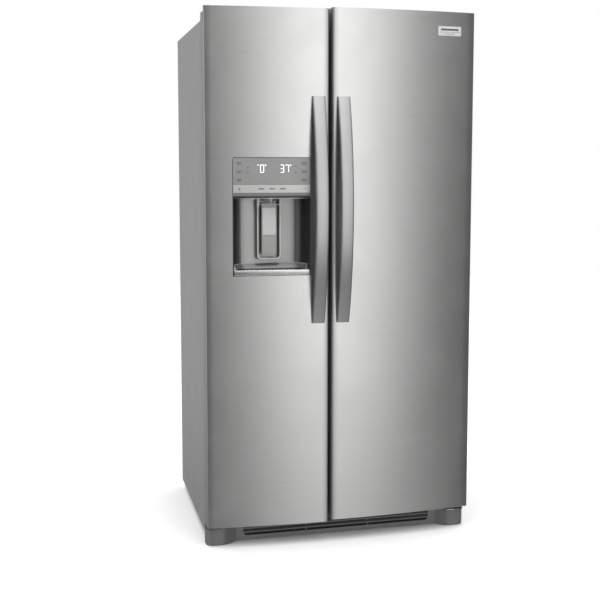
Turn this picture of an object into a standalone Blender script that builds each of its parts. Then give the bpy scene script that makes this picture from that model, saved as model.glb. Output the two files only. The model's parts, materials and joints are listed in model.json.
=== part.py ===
"""Side by side refrigerator as separate solids, in metres with +Z up.

The origin is the middle of the footprint at floor level. The doors face -Y, the freezer is on
the -X side and the fresh food compartment on the +X side.
"""
import math

import bmesh
import bpy
from mathutils import Vector

# Overall size, with handles and rear cover
WIDTH = 0.9176
HEIGHT = 1.7748
DEPTH = 0.7874
GAP = 0.0003  # between solids that touch
FIT = 0.002  # between pieces that slide or lift out

# Cabinet
CABINET_HALF = 0.4555
CABINET_TOP = 1.733
CABINET_BOTTOM = 0.030
CABINET_FRONT = -0.226
CABINET_BACK = 0.380
STEEL = 0.002
LINER = 0.0025
FREEZER_X = (-0.4105, -0.079)
FRESH_X = (-0.015, 0.4105)
ROOM_FLOOR = 0.135
ROOM_TOP = 1.683
ROOM_BACK = 0.318
STEP_FRONT = 0.1275  # the room's floor steps up here, over the machine compartment
STEP_TOP = 0.325
MACHINE_FRONT = 0.165
MACHINE_TOP = 0.290

# Shelves and drawers; each shelf is given by its top
FRESH_SHELVES = {
    "fresh_shelf_upper": 1.360,
    "fresh_shelf_middle": 1.100,
    "fresh_shelf_lower": 0.845,
    "crisper_shelf": 0.610,
}
FREEZER_SHELVES = {"freezer_shelf_upper": 0.940, "freezer_shelf_lower": 0.650}
SHELF_FRONT = -0.112
LEDGE = 0.008
DRAWER_INSET = 0.0245
DRAWER_LEDGE = 0.027

# Doors
BOW = 0.026  # how far the crown of the front stands ahead of its corners
HANDLE_REACH = 0.060
CROWN_Y = -DEPTH / 2 + HANDLE_REACH
BOW_RADIUS = ((WIDTH / 2) ** 2 + BOW**2) / (2 * BOW)
DOOR_BACK = -0.240
DOOR_EDGE = 0.005
FREEZER_DOOR_X = (-WIDTH / 2, -0.0531)
FRESH_DOOR_X = (-0.0413, WIDTH / 2)
GAP_MIDDLE = (FREEZER_DOOR_X[1] + FRESH_DOOR_X[0]) / 2
FRESH_DOOR_RISE = 0.0049
DOOR_HEIGHT = 1.6989
DOOR_TOP = {"freezer": HEIGHT - FRESH_DOOR_RISE, "fresh": HEIGHT}
HINGE_X = 0.435
HINGE_Y = -0.275
PIN_RADIUS = 0.005
POCKET_WIDTH = 0.062
POCKET_FLOOR = 1.731
POCKET_FRONT = -0.3015
DAM = 0.012  # thickness of the raised frame on a door's inner face
DAM_Z = (0.142, 1.676)
DAM_BACK = -0.190
GASKET = 0.014
GASKET_Z = (0.114, 1.704)

# Handles
HANDLE_WIDTH = 0.042
HANDLE_THICKNESS = 0.014
HANDLE_Z = (0.750, 1.490)
HANDLE_OFFSET = 0.021  # from the middle of the gap to a handle's near side
HANDLE_END_REACH = 0.009

# Dispenser
PANEL_X = -0.242
PANEL_WIDTH = 0.2544
PANEL_Z = (1.163, 1.293)
RECESS_Z = (0.921, 1.160)
HOUSING_BOTTOM = 0.910
HOUSING_BACK = -0.248
RECESS_BACK = -0.254
CHUTE_Y = -0.280
CHUTE_RADIUS = 0.0235
PADDLE_Y = -0.276
PADDLE_PIVOT_Z = 1.140

# Machine compartment
FAN_AXIS = (0.270, 0.125)  # y and z of the condenser fan's axis
EVAPORATOR_FAN = (-0.245, 0.975)  # x and z of the evaporator fan's axis
COVER_Y = 0.240
ROLLER_RADIUS = 0.0225
ROLLER_X = 0.360
ROLLER_Y = 0.330

FINISHES = {
    "stainless": ((0.62, 0.62, 0.61), 0.32, 1.0),
    "grey_paint": ((0.30, 0.30, 0.30), 0.55, 0.0),
    "grey_moulding": ((0.22, 0.22, 0.22), 0.50, 0.0),
    "white_liner": ((0.85, 0.86, 0.86), 0.35, 0.0),
    "foam": ((0.85, 0.75, 0.50), 0.90, 0.0),
    "black_plastic": ((0.03, 0.03, 0.03), 0.45, 0.0),
    "zinc": ((0.60, 0.60, 0.62), 0.40, 1.0),
    "gasket": ((0.12, 0.12, 0.12), 0.70, 0.0),
    "clear_plastic": ((0.80, 0.88, 0.92), 0.08, 0.0),
    "shelf_glass": ((0.75, 0.86, 0.84), 0.05, 0.0),
    "copper": ((0.72, 0.42, 0.28), 0.35, 1.0),
    "black_paint": ((0.02, 0.02, 0.02), 0.40, 0.0),
    "display": ((0.20, 0.20, 0.20), 0.25, 0.0),
    "badge": ((0.80, 0.80, 0.80), 0.30, 1.0),
    "board": ((0.55, 0.55, 0.53), 0.80, 0.0),
}


def clear_scene():
    for obj in list(bpy.data.objects):
        bpy.data.objects.remove(obj, do_unlink=True)


def finish_material(name):
    found = bpy.data.materials.get(name)
    if found:
        return found
    colour, roughness, metallic = FINISHES[name]
    made = bpy.data.materials.new(name)
    made.use_nodes = True
    shader = made.node_tree.nodes["Principled BSDF"]
    shader.inputs["Base Color"].default_value = (*colour, 1.0)
    shader.inputs["Roughness"].default_value = roughness
    shader.inputs["Metallic"].default_value = metallic
    return made


def add_object(name, bm, finish=None, smooth_angle=35.0):
    """Turns a bmesh into an object with outward faces; without a finish it is a hidden helper."""
    bmesh.ops.recalc_face_normals(bm, faces=bm.faces)
    mesh = bpy.data.meshes.new(name)
    bm.to_mesh(mesh)
    bm.free()
    mesh.shade_smooth()
    mesh.set_sharp_from_angle(angle=math.radians(smooth_angle))
    obj = bpy.data.objects.new(name, mesh)
    bpy.context.scene.collection.objects.link(obj)
    if finish:
        mesh.materials.append(finish_material(finish))
    else:
        obj.hide_render = True
        obj.display_type = "WIRE"
    return obj


def boolean(obj, operation, *helpers):
    for helper in helpers:
        modifier = obj.modifiers.new(f"{operation.title()} {helper.name}", "BOOLEAN")
        modifier.operation = operation
        modifier.solver = "EXACT"
        modifier.object = helper
    return obj


def cut(obj, *helpers):
    return boolean(obj, "DIFFERENCE", *helpers)


def add(obj, *helpers):
    return boolean(obj, "UNION", *helpers)


def keep_common(obj, *helpers):
    return boolean(obj, "INTERSECT", *helpers)


def set_origin(obj, point):
    """Moves the object's origin to the point and leaves its shape where it is."""
    obj.data.transform(obj.matrix_world.inverted())
    for vertex in obj.data.vertices:
        vertex.co -= Vector(point)
    obj.location = point


def prism_mesh(outline, axis, span):
    """A prism over an outline. Outline points are (x, y) for axis Z, (y, z) for X, (x, z) for Y."""
    place = {
        "X": lambda u, v, w: (w, u, v),
        "Y": lambda u, v, w: (u, w, v),
        "Z": lambda u, v, w: (u, v, w),
    }[axis]
    bm = bmesh.new()
    ends = [[bm.verts.new(place(u, v, w)) for u, v in outline] for w in span]
    bm.faces.new(ends[0])
    bm.faces.new(ends[1])
    for i in range(len(outline)):
        j = (i + 1) % len(outline)
        bm.faces.new((ends[0][i], ends[0][j], ends[1][j], ends[1][i]))
    return bm


def prism(name, outline, axis, span, finish=None):
    return add_object(name, prism_mesh(outline, axis, span), finish)


def box(name, x, y, z, finish=None):
    outline = [(x[0], y[0]), (x[1], y[0]), (x[1], y[1]), (x[0], y[1])]
    return prism(name, outline, "Z", z, finish)


def arc(centre, radius, start, end, steps):
    """Points on a circle from one angle to the other, in degrees."""
    angles = [math.radians(start + (end - start) * i / steps) for i in range(steps + 1)]
    return [(centre[0] + radius * math.cos(a), centre[1] + radius * math.sin(a)) for a in angles]


def rounded_rectangle(u, v, radii, steps=4):
    """Corners in the order low-low, high-low, high-high, low-high, each with its own radius."""
    corners = [(u[0], v[0], 1, 1), (u[1], v[0], -1, 1), (u[1], v[1], -1, -1), (u[0], v[1], 1, -1)]
    points = []
    for i, (cu, cv, su, sv) in enumerate(corners):
        if radii[i] == 0:
            points.append((cu, cv))
            continue
        centre = (cu + su * radii[i], cv + sv * radii[i])
        points += arc(centre, radii[i], 180 + 90 * i, 270 + 90 * i, steps)
    return points


def cylinder(name, axis, centre, radius, span, finish=None, sides=16):
    outline = arc(centre, radius, 90, 90 + 360 * (sides - 1) / sides, sides - 1)
    return prism(name, outline, axis, span, finish)


def lathe(name, profile, centre, finish, sides=24):
    """Turns a profile of (radius, z), from the axis at the bottom to the axis at the top."""
    bm = bmesh.new()
    rings = []
    for radius, z in profile:
        if radius == 0:
            rings.append([bm.verts.new((centre[0], centre[1], z))])
            continue
        circle = arc(centre, radius, 0, 360 * (sides - 1) / sides, sides - 1)
        rings.append([bm.verts.new((x, y, z)) for x, y in circle])
    for low, high in zip(rings, rings[1:]):
        for i in range(sides):
            j = (i + 1) % sides
            corners = [low[i % len(low)], low[j % len(low)], high[j % len(high)], high[i % len(high)]]
            bm.faces.new(list(dict.fromkeys(corners)))
    return add_object(name, bm, finish)


def tray(name, x, y, z, finish, wall=0.0025, corner=0.012):
    """A basin with an open top, rounded upright corners and an even wall."""
    inner_x, inner_y = (x[0] + wall, x[1] - wall), (y[0] + wall, y[1] - wall)
    outer = rounded_rectangle(x, y, [corner] * 4, 3)
    inner = rounded_rectangle(inner_x, inner_y, [corner - wall] * 4, 3)
    bm = bmesh.new()
    rings = []
    for outline, height in ((outer, z[0]), (outer, z[1]), (inner, z[1]), (inner, z[0] + wall)):
        rings.append([bm.verts.new((u, v, height)) for u, v in outline])
    for low, high in zip(rings, rings[1:]):
        for i in range(len(low)):
            j = (i + 1) % len(low)
            bm.faces.new((low[i], low[j], high[j], high[i]))
    bm.faces.new(rings[0])
    bm.faces.new(rings[-1])
    return add_object(name, bm, finish)


def tube(name, points, radius, finish):
    """A round tube along straight runs, as a curve with filled ends."""
    curve = bpy.data.curves.new(name, "CURVE")
    curve.dimensions = "3D"
    curve.bevel_depth = radius
    curve.bevel_resolution = 1
    curve.use_fill_caps = True
    spline = curve.splines.new("POLY")
    spline.points.add(len(points) - 1)
    for place, point in zip(spline.points, points):
        place.co = (*point, 1.0)
    obj = bpy.data.objects.new(name, curve)
    bpy.context.scene.collection.objects.link(obj)
    curve.materials.append(finish_material(finish))
    return obj


def fan(name, axis, centre, hub, tip, depth, finish):
    """A hub with twisted blades, made by turning its outline as it is extruded."""
    blades, blade_degrees, twist, layers = 5, 22.0, 34.0, 4
    outline = []
    for k in range(blades):
        start = 360.0 * k / blades
        outline += arc((0, 0), tip, start, start + blade_degrees, 2)
        outline += arc((0, 0), hub, start + blade_degrees, start + 360.0 / blades, 2)
    bm = bmesh.new()
    rings = []
    for layer in range(layers + 1):
        turn = math.radians(twist * layer / layers)
        along = depth * (layer / layers - 0.5)
        ring = []
        for u, v in outline:
            a = u * math.cos(turn) - v * math.sin(turn)
            b = u * math.sin(turn) + v * math.cos(turn)
            ring.append(bm.verts.new((along, a, b) if axis == "X" else (a, along, b)))
        rings.append(ring)
    for low, high in zip(rings, rings[1:]):
        for i in range(len(outline)):
            j = (i + 1) % len(outline)
            bm.faces.new((low[i], low[j], high[j], high[i]))
    bm.faces.new(rings[0])
    bm.faces.new(rings[-1])
    obj = add_object(name, bm, finish)
    obj.location = centre
    return obj


# Cabinet


def room_outline(grow=0.0, front=CABINET_FRONT):
    """The inside of a compartment from the side, with its step over the machine compartment."""
    return [
        (front, ROOM_FLOOR - grow),
        (STEP_FRONT + grow, ROOM_FLOOR - grow),
        (STEP_FRONT + grow, STEP_TOP - grow),
        (ROOM_BACK + grow, STEP_TOP - grow),
        (ROOM_BACK + grow, ROOM_TOP + grow),
        (front, ROOM_TOP + grow),
    ]


def make_cabinet_shell():
    """Steel wrapper of two sides and a top, with the front frame that the gaskets seal on."""
    side = CABINET_HALF
    shell = box(
        "cabinet_shell",
        (-side, side),
        (CABINET_FRONT, CABINET_BACK),
        (CABINET_BOTTOM, CABINET_TOP),
        "grey_paint",
    )
    inside = side - STEEL
    behind_frame = CABINET_FRONT + STEEL
    cut(
        shell,
        box("wrapper_hollow", (-inside, inside), (behind_frame, 0.5), (-0.1, CABINET_TOP - STEEL)),
        box("kick_opening", (-inside, inside), (-0.3, -0.2), (-0.1, 0.090)),
    )
    for label, room in (("freezer", FREEZER_X), ("fresh", FRESH_X)):
        cut(shell, box(f"{label}_doorway", room, (-0.3, -0.2), (ROOM_FLOOR, ROOM_TOP)))
    return shell


def make_foam():
    inside = CABINET_HALF - STEEL - GAP
    front = CABINET_FRONT + STEEL + GAP
    outline = [
        (front, 0.0925),
        (MACHINE_FRONT, 0.0925),
        (MACHINE_FRONT, MACHINE_TOP),
        (CABINET_BACK - GAP, MACHINE_TOP),
        (CABINET_BACK - GAP, CABINET_TOP - STEEL - GAP),
        (front, CABINET_TOP - STEEL - GAP),
    ]
    foam = prism("cabinet_foam", outline, "X", (-inside, inside), "foam")
    grow = LINER + GAP
    for label, room in (("freezer", FREEZER_X), ("fresh", FRESH_X)):
        pocket = prism(
            f"{label}_pocket", room_outline(grow, -0.3), "X", (room[0] - grow, room[1] + grow)
        )
        cut(foam, pocket)
    return foam


def make_liner(label, room, ledges):
    """A moulded compartment with its back and step, and the ledges that carry shelves and drawers.

    Each ledge is (top, back, width at the door hinge's side).
    """
    front = CABINET_FRONT + STEEL + GAP
    liner = prism(
        f"{label}_liner",
        room_outline(LINER, front),
        "X",
        (room[0] - LINER, room[1] + LINER),
        "white_liner",
    )
    cut(liner, prism(f"{label}_hollow", room_outline(0.0, -0.3), "X", room))
    hinge_wall = room[0] if label == "freezer" else room[1]
    for i, (top, back, hinge_width) in enumerate(ledges):
        for wall, inward in ((room[0], 1), (room[1], -1)):
            width = hinge_width if wall == hinge_wall else LEDGE
            x = sorted((wall - inward * LINER / 2, wall + inward * width))
            ledge = box(f"{label}_ledge_{i}_{inward}", x, (-0.110, back), (top - 0.006, top))
            add(liner, ledge)
    return liner


def make_back_panel():
    return box(
        "back_panel",
        (-CABINET_HALF + 0.004, CABINET_HALF - 0.004),
        (CABINET_BACK + GAP, CABINET_BACK + 0.003),
        (0.332, CABINET_TOP - 0.004),
        "board",
    )


def make_machine_cover():
    """Stamped cover over the machine compartment, with a flange and rows of air slots."""
    half, low, high = CABINET_HALF - 0.004, 0.050, 0.328
    cover = box(
        "machine_cover", (-half, half), (CABINET_BACK + GAP, DEPTH / 2), (low, high), "board"
    )
    rim = 0.016
    cut(
        cover,
        box("cover_flange_low", (-0.5, 0.5), (0.3825, 0.5), (low - 0.01, low + rim)),
        box("cover_flange_high", (-0.5, 0.5), (0.3825, 0.5), (high - rim, high + 0.01)),
        box("cover_flange_left", (-0.5, -half + rim), (0.3825, 0.5), (0.0, 0.4)),
        box("cover_flange_right", (half - rim, 0.5), (0.3825, 0.5), (0.0, 0.4)),
        box(
            "cover_hollow",
            (-half + rim + STEEL, half - rim - STEEL),
            (0.3, DEPTH / 2 - STEEL),
            (low + rim + STEEL, high - rim - STEEL),
        ),
    )
    for column, left in enumerate((-0.36, -0.10, 0.16)):
        for row in range(5):
            z = 0.110 + 0.034 * row
            slot = box(f"air_slot_{column}_{row}", (left, left + 0.20), (0.35, 0.45), (z, z + 0.010))
            cut(cover, slot)
    return cover


def make_base_frame():
    """Base pan with its front and side walls, the roller ears and their axles."""
    half = CABINET_HALF - STEEL - 0.0005
    floor_z, wall_top = 0.036, 0.088
    front, back = -0.2215, 0.3775
    frame = box("base_frame", (-half, half), (front, back), (floor_z, wall_top), "zinc")
    cut(
        frame,
        box("pan_hollow", (-half + STEEL, half - STEEL), (front + STEEL, 0.5), (floor_z + STEEL, 0.2)),
    )
    for side in (-1, 1):
        x = side * ROLLER_X
        cut(
            frame,
            box(f"wheel_well_{side}", (x - 0.0125, x + 0.0125), (0.303, 0.357), (0.0, 0.1)),
            cylinder(f"leg_hole_{side}", "Z", (side * 0.405, -0.200), 0.0065, (0.0, 0.1)),
        )
        for ear in (-1, 1):
            near = x + ear * 0.0130
            span = sorted((near, near + ear * 0.003))
            add(frame, box(f"roller_ear_{side}_{ear}", span, (0.316, 0.344), (0.013, 0.037)))
        axle = (x - 0.0145, x + 0.0145)
        add(frame, cylinder(f"axle_{side}", "X", (ROLLER_Y, ROLLER_RADIUS), 0.004, axle, sides=12))
    return frame


def make_roller(name, side):
    x = side * ROLLER_X
    roller = cylinder(
        name, "X", (0.0, 0.0), ROLLER_RADIUS, (-0.0105, 0.0105), "black_plastic", sides=24
    )
    cut(roller, cylinder(f"{name}_bore", "X", (0.0, 0.0), 0.0046, (-0.02, 0.02), sides=12))
    roller.modifiers[0].object.location = (x, ROLLER_Y, ROLLER_RADIUS)
    roller.location = (x, ROLLER_Y, ROLLER_RADIUS)
    return roller


def make_leg(name, side):
    """Levelling leg: a foot disc under a collar and a screw stud."""
    profile = [
        (0.0, 0.0),
        (0.018, 0.0),
        (0.019, 0.003),
        (0.016, 0.008),
        (0.009, 0.010),
        (0.009, 0.016),
        (0.006, 0.018),
        (0.006, 0.070),
        (0.0, 0.070),
    ]
    return lathe(name, profile, (side * 0.405, -0.200), "zinc", 20)


def make_toe_grille():
    """One moulding: a low front wall with a louvred air opening and a bulged foot cover at each end."""
    wall = 0.003
    middle_y, foot_y = -0.262, -0.282
    end_x, corner = WIDTH / 2 - 0.001, 0.022
    flare_start, flare_end = 0.350, 0.405

    def half_line(offset):
        """From the middle out to the end of the side return, set back by offset."""
        points = [(0.0, middle_y + offset)]
        steps = 6
        for i in range(steps + 1):
            t = i / steps
            ease = t * t * (3 - 2 * t)
            x = flare_start + (flare_end - flare_start) * t
            points.append((x, middle_y + (foot_y - middle_y) * ease + offset))
        centre = (end_x - corner, foot_y + corner)
        points += arc(centre, corner - offset, -90, 0, 4)
        points.append((end_x - offset, -0.236))
        return points

    front, back = half_line(0.0), half_line(wall)
    outer = [(-x, y) for x, y in reversed(front[1:])] + front
    inner = [(-x, y) for x, y in reversed(back[1:])] + back
    grille = prism("toe_grille", outer + inner[::-1], "Z", (0.0015, 0.0675), "grey_moulding")
    low = [(-0.375, -0.1), (0.375, -0.1), (0.375, 0.0016), (0.345, 0.0095), (-0.345, 0.0095), (-0.375, 0.0016)]
    cut(grille, prism("raised_lower_edge", low, "Y", (-0.4, -0.1)))
    for side in (-1, 1):
        x = sorted((side * 0.382, side * 0.5))
        cut(grille, box(f"hinge_room_{side}", x, (-0.4, -0.1), (0.056, 0.1)))
    opening = rounded_rectangle((-0.331, 0.331), (0.0205, 0.0610), [0.014, 0.014, 0.004, 0.004])
    cut(grille, prism("air_opening", opening, "Y", (-0.4, -0.1)))
    for i, z in enumerate((0.0325, 0.0455)):
        louvre = [(-0.2625, z - 0.003), (-0.2545, z + 0.002), (-0.2545, z + 0.005), (-0.2625, z)]
        add(grille, prism(f"louvre_{i}", louvre, "X", (-0.334, 0.334)))
    for i, x in enumerate((-0.110, 0.110)):
        add(grille, box(f"louvre_post_{i}", (x - 0.002, x + 0.002), (-0.2575, -0.2550), (0.018, 0.064)))
    return grille


# Machine compartment and cooling


def make_compressor():
    profile = [(0.0, 0.0395), (0.050, 0.0395), (0.078, 0.060), (0.080, 0.072)]
    profile += [(0.080, 0.150)]
    profile += [(0.080 * math.cos(a), 0.150 + 0.062 * math.sin(a)) for a in (0.35, 0.75, 1.15)]
    profile += [(0.0, 0.212)]
    return lathe("compressor", profile, (0.290, 0.270), "black_paint", 24)


def serpentine(x, y, z, across, layers):
    """Points of a tube that runs to and fro along X in each layer and climbs to the next."""
    points = []
    for layer in range(layers):
        height = z[0] + (z[1] - z[0]) * layer / max(1, layers - 1)
        for i in range(across):
            k = i if layer % 2 == 0 else across - 1 - i
            depth = y[0] + (y[1] - y[0]) * k / (across - 1)
            run = x if (i + layer * across) % 2 == 0 else x[::-1]
            points += [(run[0], depth, height), (run[1], depth, height)]
    return points


def make_condenser():
    points = serpentine((-0.190, 0.055), (0.200, 0.340), (0.060, 0.200), 6, 4)
    return tube("condenser", points, 0.0035, "black_paint")


def make_evaporator():
    """Coil that stands behind the evaporator cover."""
    flat = serpentine((-0.385, -0.105), (0.420, 0.800), (0.262, 0.296), 9, 2)
    points = [(x, layer, height) for x, height, layer in flat]
    return tube("evaporator", points, 0.0040, "zinc")


def spider(label, axis, centre, reach, span, pin_span):
    """Crossed arms, a boss and the shaft that a fan turns on, for joining to a plate."""
    u, v = centre
    half = 0.003

    def bar(name, du, dv):
        outline = [(u - du, v - dv), (u + du, v - dv), (u + du, v + dv), (u - du, v + dv)]
        return prism(name, outline, axis, span)

    return (
        bar(f"{label}_arm_a", reach, half),
        bar(f"{label}_arm_b", half, reach),
        cylinder(f"{label}_boss", axis, centre, 0.014, span, sides=12),
        cylinder(f"{label}_shaft", axis, centre, 0.003, pin_span, sides=8),
    )


def make_fan_shroud():
    y = (MACHINE_FRONT + 0.010, 0.366)
    shroud = box("fan_shroud", (0.085, 0.088), y, (0.0385, 0.222), "black_plastic")
    cut(shroud, cylinder("shroud_opening", "X", FAN_AXIS, 0.072, (0.0, 0.2), sides=24))
    add(shroud, *spider("shroud", "X", FAN_AXIS, 0.075, (0.0852, 0.0878), (0.086, 0.112)))
    return shroud


def make_evaporator_cover():
    x = (FREEZER_X[0] + 0.001, FREEZER_X[1] - 0.001)
    cover = box("evaporator_cover", x, (COVER_Y, COVER_Y + 0.003), (STEP_TOP + 0.001, 1.120), "white_liner")
    cut(cover, cylinder("fan_opening", "Y", EVAPORATOR_FAN, 0.056, (0.2, 0.3), sides=24))
    for i in range(4):
        z = 0.350 + 0.018 * i
        cut(cover, box(f"return_slot_{i}", (-0.37, -0.12), (0.2, 0.3), (z, z + 0.006)))
    add(cover, *spider("guard", "Y", EVAPORATOR_FAN, 0.059, (COVER_Y + 0.0002, COVER_Y + 0.0028), (0.241, 0.266)))
    return cover


def make_fans():
    condenser_fan = fan(
        "condenser_fan", "X", (0.1050, *FAN_AXIS), 0.020, 0.066, 0.018, "black_plastic"
    )
    bore = cylinder("condenser_fan_bore", "X", (0.0, 0.0), 0.0036, (-0.02, 0.0085), sides=8)
    bore.location = condenser_fan.location
    cut(condenser_fan, bore)
    x, z = EVAPORATOR_FAN
    evaporator_fan = fan("evaporator_fan", "Y", (x, 0.2600, z), 0.016, 0.050, 0.016, "white_liner")
    bore = cylinder("evaporator_fan_bore", "Y", (0.0, 0.0), 0.0036, (-0.02, 0.0070), sides=8)
    bore.location = evaporator_fan.location
    cut(evaporator_fan, bore)


# Hinges


def make_top_hinge(label, side):
    """A plate screwed to the cabinet's top, an arm over the door's pocket and the pin at its end."""
    x = side * HINGE_X
    z = (CABINET_TOP + GAP, CABINET_TOP + 0.004)
    arm_half = 0.011
    arm = [(x + arm_half, -0.180), (x - arm_half, -0.180)]
    arm += arc((x, HINGE_Y), arm_half, 180, 360, 6)
    hinge = prism(f"top_hinge_{label}", arm, "Z", z, "zinc")
    inner = x - side * 0.042
    plate = rounded_rectangle(sorted((x - side * 0.006, inner)), (-0.218, -0.140), [0.004] * 4, 2)
    add(
        hinge,
        prism(f"hinge_plate_{label}", plate, "Z", z),
        cylinder(f"top_pin_{label}", "Z", (x, HINGE_Y), PIN_RADIUS, (1.716, z[1] - 0.001), sides=12),
    )
    return hinge


def make_hinge_cover(label, side):
    """Hollow cap over the hinge plate, open below and slotted where the arm leaves it."""
    z = (CABINET_TOP + GAP, CABINET_TOP + 0.030)
    wall, corner = 0.0025, 0.006

    def plan(inset):
        """Its outer side runs straight past the arm, then in towards the back."""
        inner, outer, tail = HINGE_X - 0.055 + inset, HINGE_X + 0.0145 - inset, HINGE_X - inset
        front, back = -0.2245 + inset, -0.122 - inset
        points = arc((inner + corner, front + corner), corner, 180, 270, 3)
        points += arc((outer - corner, front + corner), corner, 270, 360, 3)
        points += [(outer, -0.182), (tail, back - corner), (tail - corner, back)]
        points += arc((inner + corner, back - corner), corner, 90, 180, 3)
        return points if side > 0 else [(-x, y) for x, y in reversed(points)]

    cover = prism(f"hinge_cover_{label}", plan(0.0), "Z", z, "grey_paint")
    arm_side = side * HINGE_X
    cut(
        cover,
        prism(f"cover_room_{label}", plan(wall), "Z", (1.7, z[1] - wall)),
        box(f"arm_slot_{label}", (arm_side - 0.0115, arm_side + 0.0115), (-0.3, -0.21), (1.7, 1.740)),
    )
    return cover


def make_bottom_hinge(label, side):
    """Bracket below the door: an upright plate on the base frame, an arm and its pin."""
    x = side * HINGE_X
    outline = [(-0.2222, 0.0400), (-0.2222, 0.0870), (-0.2250, 0.0870), (-0.2250, 0.0645)]
    outline += [(-0.2880, 0.0645), (-0.2880, 0.0600), (-0.2250, 0.0600), (-0.2250, 0.0400)]
    hinge = prism(f"bottom_hinge_{label}", outline, "X", sorted((x - side * 0.030, x + side * 0.016)), "zinc")
    add(
        hinge,
        cylinder(f"bottom_washer_{label}", "Z", (x, HINGE_Y), 0.009, (0.0640, 0.0665), sides=12),
        cylinder(f"bottom_pin_{label}", "Z", (x, HINGE_Y), PIN_RADIUS, (0.0640, 0.0840), sides=12),
    )
    return hinge


# Inside the compartments


def make_shelf(name, room, top, y, finish, thickness=0.004):
    """A plate with a deeper trim along its front."""
    front, back = y
    outline = [
        (front, top - 0.011),
        (front + 0.009, top - 0.011),
        (front + 0.009, top - thickness),
        (back, top - thickness),
        (back, top),
        (front, top + 0.001),
    ]
    return prism(name, outline, "X", (room[0] + FIT, room[1] - FIT), finish)


def make_shelves():
    for name, top in FRESH_SHELVES.items():
        make_shelf(name, FRESH_X, top, (SHELF_FRONT, 0.310), "shelf_glass")
    for name, top in FREEZER_SHELVES.items():
        make_shelf(name, FREEZER_X, top, (SHELF_FRONT, 0.236), "shelf_glass")


def make_drawer(name, room, y, z, finish):
    """A drawer with a front that stands above its walls, and a finger lip on it.

    It is set in further at the hinge's side, where it has to pass the edge of the opened door.
    """
    x = (room[0] + 0.010, room[1] - DRAWER_INSET)
    if room == FREEZER_X:
        x = (room[0] + DRAWER_INSET, room[1] - 0.010)
    drawer = tray(name, x, y, (z[0], z[1] - 0.015), finish, wall=0.003, corner=0.010)
    lip = [
        (y[0] - 0.004, z[0] + 0.010),
        (y[0] + 0.002, z[0] + 0.010),
        (y[0] + 0.002, z[1]),
        (y[0] - 0.012, z[1]),
        (y[0] - 0.012, z[1] - 0.006),
        (y[0] - 0.004, z[1] - 0.012),
    ]
    add(drawer, prism(f"{name}_front", lip, "X", (x[0] - 0.004, x[1] + 0.004)))
    return drawer


def make_drawers():
    make_drawer("crisper_upper", FRESH_X, (-0.105, 0.300), (0.380, 0.590), "clear_plastic")
    make_drawer("crisper_lower", FRESH_X, (-0.105, 0.115), (0.150, 0.350), "clear_plastic")
    make_drawer("freezer_basket_upper", FREEZER_X, (-0.105, 0.225), (0.400, 0.560), "clear_plastic")
    make_drawer("freezer_basket_lower", FREEZER_X, (-0.105, 0.115), (0.150, 0.310), "clear_plastic")


def make_control_housing():
    outline = [(-0.150, 1.652), (-0.135, 1.625), (0.140, 1.612), (0.190, 1.625)]
    outline += [(0.190, ROOM_TOP - GAP), (-0.150, ROOM_TOP - GAP)]
    return prism("control_housing", outline, "X", (0.020, 0.375), "white_liner")


def make_ice_maker():
    """Motor box, mould and bracket at the top of the freezer."""
    maker = box("ice_maker", (-0.370, -0.130), (0.130, 0.300), (1.560, 1.625), "white_liner")
    add(
        maker,
        box("ice_motor", (-0.385, -0.345), (0.120, 0.300), (1.540, 1.645)),
        box("ice_bracket", (-0.330, -0.170), (0.180, 0.290), (1.620, ROOM_TOP - GAP)),
    )
    cut(maker, box("ice_mould", (-0.335, -0.140), (0.145, 0.225), (1.585, 1.7)))
    return maker


def make_ice_bin():
    """Deep bin with an outlet in its front that meets the opening in the door."""
    bin_obj = tray(
        "ice_bin", (-0.388, -0.094), (-0.108, 0.235), (1.2355, 1.470), "clear_plastic", wall=0.003
    )
    cut(bin_obj, box("ice_outlet", (PANEL_X - 0.035, PANEL_X + 0.035), (-0.2, -0.09), (1.2400, 1.290)))
    return bin_obj


# Doors


def face_y(x, back=0.0):
    """The bowed front at x, set back by the given amount."""
    return CROWN_Y + BOW_RADIUS - math.sqrt(BOW_RADIUS**2 - x * x) + back


def door_plan(x, inset=0.0, back=DOOR_BACK, steps=20):
    """A door from above: bowed front, small rounds at its two front edges, square back."""
    left, right = x[0] + inset, x[1] - inset
    edge = DOOR_EDGE - inset
    left_centre = (left + edge, face_y(left + edge, inset) + edge)
    right_centre = (right - edge, face_y(right - edge, inset) + edge)
    points = arc(left_centre, edge, 180, 270, 4)
    for i in range(1, steps):
        u = left + edge + (right - left - 2 * edge) * i / steps
        points.append((u, face_y(u, inset)))
    points += arc(right_centre, edge, 270, 360, 4)
    return points + [(right, back), (left, back)]


def bowed_slab(name, x, front, back):
    """Tall slab between two offsets of the bowed front, for shaping pieces that follow it."""
    steps = 8
    line = [x[0] + (x[1] - x[0]) * i / steps for i in range(steps + 1)]
    outline = [(u, face_y(u, front)) for u in line] + [(x[1], back), (x[0], back)]
    return prism(name, outline, "Z", (-0.1, 2.0))


def pocket(name, side, grow=0.0):
    """The corner cut from a door's top for the hinge arm, open at the side, the back and above."""
    outer = side * (WIDTH / 2 + 0.01)
    inner = side * (WIDTH / 2 - POCKET_WIDTH - grow)
    y = (POCKET_FRONT - grow, 0.0)
    return box(name, sorted((outer, inner)), y, (POCKET_FLOOR - grow, 2.0))


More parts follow.
